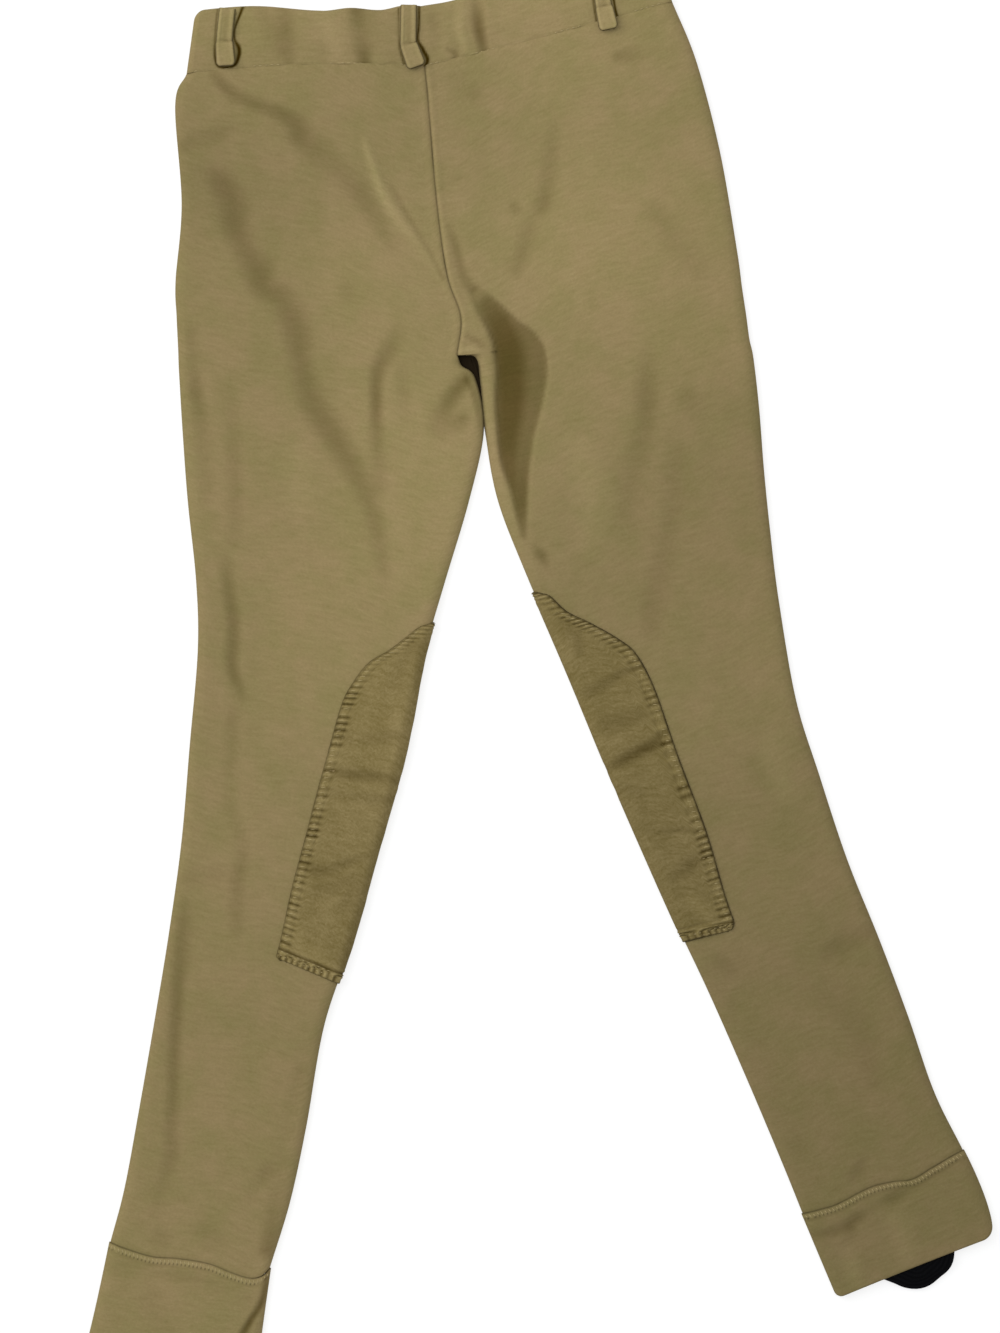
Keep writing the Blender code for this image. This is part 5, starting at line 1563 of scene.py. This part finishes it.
elastic = woven_elastic()
STRAP_WIDTH = 20.0
STRAP_BEND = 7.0         # the radius of its bend
STRAP_FLAT = 7.0         # the straight piece at the middle of its bend
STRAP_SHOWS = 12.0       # how far it comes out below the hem
STRAP_SPLAY = 28.0       # how far its two arms lean apart, in degrees
STRAP_ARM = 27.0


def strap(leg, tilt, shift, rows=70, cols=15):
    """One strap: it runs down out of the cuff, round its bend and up again, turned by a tilt."""
    hem = leg.hem
    outer_end = np.array([hem.outer_x, hem.outer_y])
    inner_end = np.array([hem.inner_x, hem.inner_y])
    top_outer, top_inner, _ = (part[0] for part in leg.ends("back", np.array([leg.last])))
    down = (outer_end + inner_end) - (top_outer + top_inner)
    down = down / np.linalg.norm(down)
    side = np.array([-down[1], down[0]]) * leg.seam_side
    middle = (outer_end + inner_end) / 2.0 + side * shift
    centre_down = STRAP_SHOWS - STRAP_BEND - STRAP_WIDTH / 2.0
    sweep = math.radians(90.0 - STRAP_SPLAY)
    half_long = STRAP_FLAT / 2.0 + sweep * STRAP_BEND + STRAP_ARM
    run = np.linspace(-half_long, half_long, rows)
    bent = np.clip((np.abs(run) - STRAP_FLAT / 2.0) / STRAP_BEND, 0.0, sweep)
    angle = np.sign(run) * bent
    past = np.abs(run) - np.minimum(np.abs(run), STRAP_FLAT / 2.0) - bent * STRAP_BEND
    direction = np.stack([np.cos(angle), -np.sin(angle)], axis=-1)
    place = np.stack([np.sin(angle), np.cos(angle)], axis=-1) * STRAP_BEND
    place = place + direction * (np.sign(run) * past)[:, None]
    place[:, 0] += np.clip(run, -STRAP_FLAT / 2.0, STRAP_FLAT / 2.0)
    across = np.stack([-direction[:, 1], direction[:, 0]], axis=-1)
    offset = (np.linspace(-0.5, 0.5, cols) * STRAP_WIDTH)[None, :, None]
    local = place[:, None, :] + across[:, None, :] * offset
    lean = math.radians(tilt)
    turned_x = local[..., 0] * math.cos(lean) - local[..., 1] * math.sin(lean)
    turned_y = local[..., 0] * math.sin(lean) + local[..., 1] * math.cos(lean)
    below = turned_y + centre_down
    plan = middle + side * turned_x[..., None] + down * below[..., None]
    under = (CUFF_WALL + SEAM) * (1.0 - smooth((below - 4.5) / 5.0))
    points = np.concatenate([plan, (under + STRAP)[..., None]], axis=-1)
    if leg.seam_side > 0:
        points = points[:, ::-1]
    return sheet(f"elastic_strap_{leg.side}", points, None, STRAP - 0.1, up=True)


for leg, tilt, shift in ((LEFT, 12.0, 0.0), (RIGHT, -19.0, 4.0)):
    made = strap(leg, tilt, shift)
    settle(made, [f"stirrup_strap_{leg.side}"], elastic)

# %% [markdown]
# ## The stitching
# Thread shows where it lies on the surface: ticks of cover stitch below each cuff seam, a zig-zag
# round the knee patches, and a few stitches that surface in the waist seam. One stitch is a small
# low sphere, drawn out along the thread. It is copied to every place into one mesh.

# %% Thread and one stitch
def mottled(name, middle, roughness, scale, low, high, specular):
    """A plain finish whose colour drifts between two near values. scale is its noise's, per metre."""
    made, tree, shader = blank(name, middle, roughness)
    place = add(tree, "ShaderNodeTexCoord")
    drift = add(tree, "ShaderNodeTexNoise", {"Scale": scale, "Detail": 2.0},
                {"Vector": place.outputs["Object"]})
    colour = add(tree, "ShaderNodeMix", {6: linear(low), 7: linear(high)},
                 {0: drift.outputs["Fac"]}, data_type="RGBA")
    tree.links.new(colour.outputs[2], shader.inputs["Base Color"])
    shader.inputs["Specular IOR Level"].default_value = specular
    return made, shader


thread, _ = mottled("spun_polyester_thread", "#A09066", 0.7, 260.0, "#8E7F56", "#AC9C70", 0.3)
bpy.ops.object.select_all(action="DESELECT")
bpy.ops.mesh.primitive_uv_sphere_add(segments=6, ring_count=4, radius=0.5)
stitch = bpy.context.object
stitch_points = np.array([tuple(v.co) for v in stitch.data.vertices])
stitch_faces = [tuple(f.vertices) for f in stitch.data.polygons]
bpy.data.objects.remove(stitch, do_unlink=True)
print("one stitch:", len(stitch_faces), "faces")


def stitches(name, starts, ends, outs, thick):
    """One mesh of stitches from start to end points, each raised along an outward direction."""
    run = ends - starts
    length = np.linalg.norm(run, axis=1, keepdims=True)
    along = run / np.maximum(length, 1e-6)
    outs = outs / np.linalg.norm(outs, axis=1, keepdims=True)
    side = np.cross(outs, along)
    middle = (starts + ends) / 2.0 + outs * thick * 0.15
    shape = stitch_points[None, :, :]
    points = (middle[:, None, :] + along[:, None, :] * shape[..., 0:1] * length[:, None, :]
              + side[:, None, :] * shape[..., 1:2] * thick
              + outs[:, None, :] * shape[..., 2:3] * thick)
    points = (points.reshape(-1, 3) + np.array([FRAME_X, FRAME_Y, 0.0])) * MM
    count = len(stitch_points)
    faces = [tuple(corner + count * n for corner in face)
             for n in range(len(starts)) for face in stitch_faces]
    mesh = bpy.data.meshes.new(name)
    mesh.from_pydata(points.tolist(), [], faces)
    mesh.shade_smooth()
    made = bpy.data.objects.new(name, mesh)
    bpy.context.scene.collection.objects.link(made)
    settle(made, [], thread)
    return made


def on_grid(points, row, col):
    """Places and outward directions on a grid of points, at fractional rows and columns."""
    out = normals(points)
    found = []
    for grid in (points, out):
        low_r = np.clip(np.floor(row).astype(int), 0, grid.shape[0] - 2)
        low_c = np.clip(np.floor(col).astype(int), 0, grid.shape[1] - 2)
        fr = (row - low_r)[:, None]
        fc = (col - low_c)[:, None]
        found.append((1 - fr) * ((1 - fc) * grid[low_r, low_c] + fc * grid[low_r, low_c + 1])
                     + fr * ((1 - fc) * grid[low_r + 1, low_c] + fc * grid[low_r + 1, low_c + 1]))
    return found


# %% Cover stitch below the cuff seams
COVER_THREAD = 0.55      # how thick a stitch stands, in millimetres
ZIGZAG_THREAD = 0.42
WAIST_THREAD = 0.5


def cuff_stitches(name, points, seam_side):
    """Upright ticks of thread, one at each pitch of the cover stitch, a little uneven."""
    top = points[:, ::-1] if seam_side > 0 else points
    top = top[:, :CUFF_STEPS + CUFF_ROLLS]
    if seam_side > 0:
        top = top[:, ::-1]
    from_hem = lengths(top, 0)
    edge = lengths(top[-1:], 1)[0]
    places = np.arange(3.0, edge[-1] - 3.0, CUFF_PITCH)
    jitter = 0.3 * wobble(places * 1.9, 1.0)
    cols = np.interp(places, edge, np.arange(len(edge)))
    low_cols = np.interp(places + 0.7 + jitter, edge, np.arange(len(edge)))
    starts, ends, outs = [], [], []
    for place, col, low_col in zip(places, cols, low_cols):
        run = from_hem[-1, int(col)] - from_hem[:, int(col)]
        rows = np.interp([-(1.0 + 0.2 * math.sin(place)), -(3.1 + 0.3 * math.sin(place * 1.7))],
                         -run, np.arange(len(run)))
        here, out = on_grid(top, rows, np.array([col, low_col]))
        starts.append(here[0])
        ends.append(here[1])
        outs.append(out[0])
    return stitches(name, np.array(starts), np.array(ends), np.array(outs), COVER_THREAD)


for leg in (LEFT, RIGHT):
    cuff_stitches(f"stitches_cuff_{leg.side}", cuffs[leg.side], leg.seam_side)

# %% Bars of thread over the rim of the patches, and two rows along their lower ends
def patch_stitches(name, points, rim, turn, pitch=3.1):
    """Slanting bars of thread along the rim. turn is -1 where the grid's outside is behind it."""
    rows, over = points.shape[0], PATCH_STEPS
    along = lengths(points, 0)[:, 0]
    places = np.arange(9.0, along[-1] - 6.0, pitch)
    places = places + 0.6 * wobble(places * 1.3, 3.0)
    places = places[wobble(places / 3.7, 1.0) > -0.45]
    sides = []
    for inset, slip in ((1.5, 0.0), (4.4, 0.5)):
        at = places + slip
        row = np.interp(at, along, np.arange(rows))
        inset = inset + 0.35 * wobble(at * 2.1, 2.0)
        col = [np.interp(want, rim[int(r), :over], np.arange(over)) for want, r in zip(inset, row)]
        sides.append(on_grid(points, row, np.array(col)))
    starts, ends, outs = [sides[0][0]], [sides[1][0]], [sides[0][1]]
    for up in (3.2, 5.6):
        row = np.interp(up, along, np.arange(rows))
        run = lengths(points[int(row):int(row) + 1], 1)[0]
        from_edge = np.arange(2.5, run[over] - 1.0, 3.3)
        col, next_col = (np.interp(from_edge + step, run, np.arange(len(run))) for step in (0.0, 1.9))
        here, out = on_grid(points, np.full(len(col), row), col)
        there, _ = on_grid(points, np.full(len(col), row + 0.3), next_col)
        starts.append(here)
        ends.append(there)
        outs.append(out)
    starts, ends, outs = (np.concatenate(part) for part in (starts, ends, outs))
    return stitches(name, starts, ends, outs * turn, ZIGZAG_THREAD)


for leg in (LEFT, RIGHT):
    patch_stitches(f"stitches_patch_{leg.side}", *patches[leg.side], -leg.seam_side)

# %% Stitches that surface in the waist seam
row_length = lengths(band_points[:1], 1)[0]
places = np.arange(6.0, row_length[-1] - 6.0, 3.4)
shown = wobble(places / 7.0, 1.3) > 0.15
places = places[shown]
cols = np.interp(places, row_length, np.arange(len(row_length)))
next_cols = np.interp(places + 2.3, row_length, np.arange(len(row_length)))
seam_rows = np.full(len(places), 2.0)
here, out = on_grid(band_points, seam_rows, cols)
there, _ = on_grid(band_points, seam_rows + 0.2, next_cols)
stitches("stitches_waist", here, there, out, WAIST_THREAD)

# %% [markdown]
# ## Floor, light and camera
# The garment lies on a plain white surface. A large soft light stands at the upper left, so that
# folds darken gently on their right sides, and a wide light overhead fills them. The camera looks
# straight down.

# %% Stage
board, shader = mottled("matt_white_board", "#989897", 0.9, 40.0, "#969695", "#999998", 0.1)
shader.inputs["Emission Color"].default_value = linear("#FFFFFF")
shader.inputs["Emission Strength"].default_value = 0.71          # lit from below, as a light table is

bpy.ops.object.select_all(action="DESELECT")
bpy.ops.mesh.primitive_plane_add(size=12.0, location=(0.0, 0.0, -0.0003))
floor = bpy.context.object
floor.name = "floor"
floor.data.materials.append(board)


def soft_light(name, place, target, size, power):
    """A square light at a place, in metres, turned to face a target."""
    data = bpy.data.lights.new(name, "AREA")
    data.shape = "SQUARE"
    data.size = size
    data.energy = power
    lamp = bpy.data.objects.new(name, data)
    bpy.context.scene.collection.objects.link(lamp)
    lamp.location = place
    aim = [t - p for t, p in zip(target, place)]
    from_above = math.atan2(math.hypot(aim[0], aim[1]), -aim[2])
    lamp.rotation_euler = (from_above, 0.0, math.atan2(aim[1], aim[0]) - math.pi / 2.0)
    return lamp


soft_light("window", (-1.5, 0.9, 1.5), (-0.1, 0.1, 0.0), 1.5, 26.4)
soft_light("overhead", (-0.2, 0.2, 2.6), (0.0, 0.0, 0.0), 2.4, 33.0)
world = bpy.data.worlds.new("studio")
bpy.context.scene.world = world
world.use_nodes = True
world.node_tree.nodes["Background"].inputs["Color"].default_value = linear("#F4F6FA")
world.node_tree.nodes["Background"].inputs["Strength"].default_value = 0.495
bpy.context.scene.view_settings.view_transform = "Standard"

# %% Camera
VIEW_TALL = 766.5 * MM           # what the camera takes in, from top to bottom
VIEW_X = -24.0 * MM
VIEW_Y = -4.0 * MM
CAMERA_HEIGHT = 2.2
camera_data = bpy.data.cameras.new("camera")
camera = bpy.data.objects.new("camera", camera_data)
bpy.context.scene.collection.objects.link(camera)
camera.location = (VIEW_X, VIEW_Y, CAMERA_HEIGHT)
camera.rotation_euler = (0.0, 0.0, 0.0)
camera_data.sensor_fit = "VERTICAL"
camera_data.angle = 2.0 * math.atan(VIEW_TALL / 2.0 / (CAMERA_HEIGHT - BACK_TOP * MM))
camera_data.clip_end = 50.0
bpy.context.scene.camera = camera
print("camera at", tuple(round(c, 3) for c in camera.location))
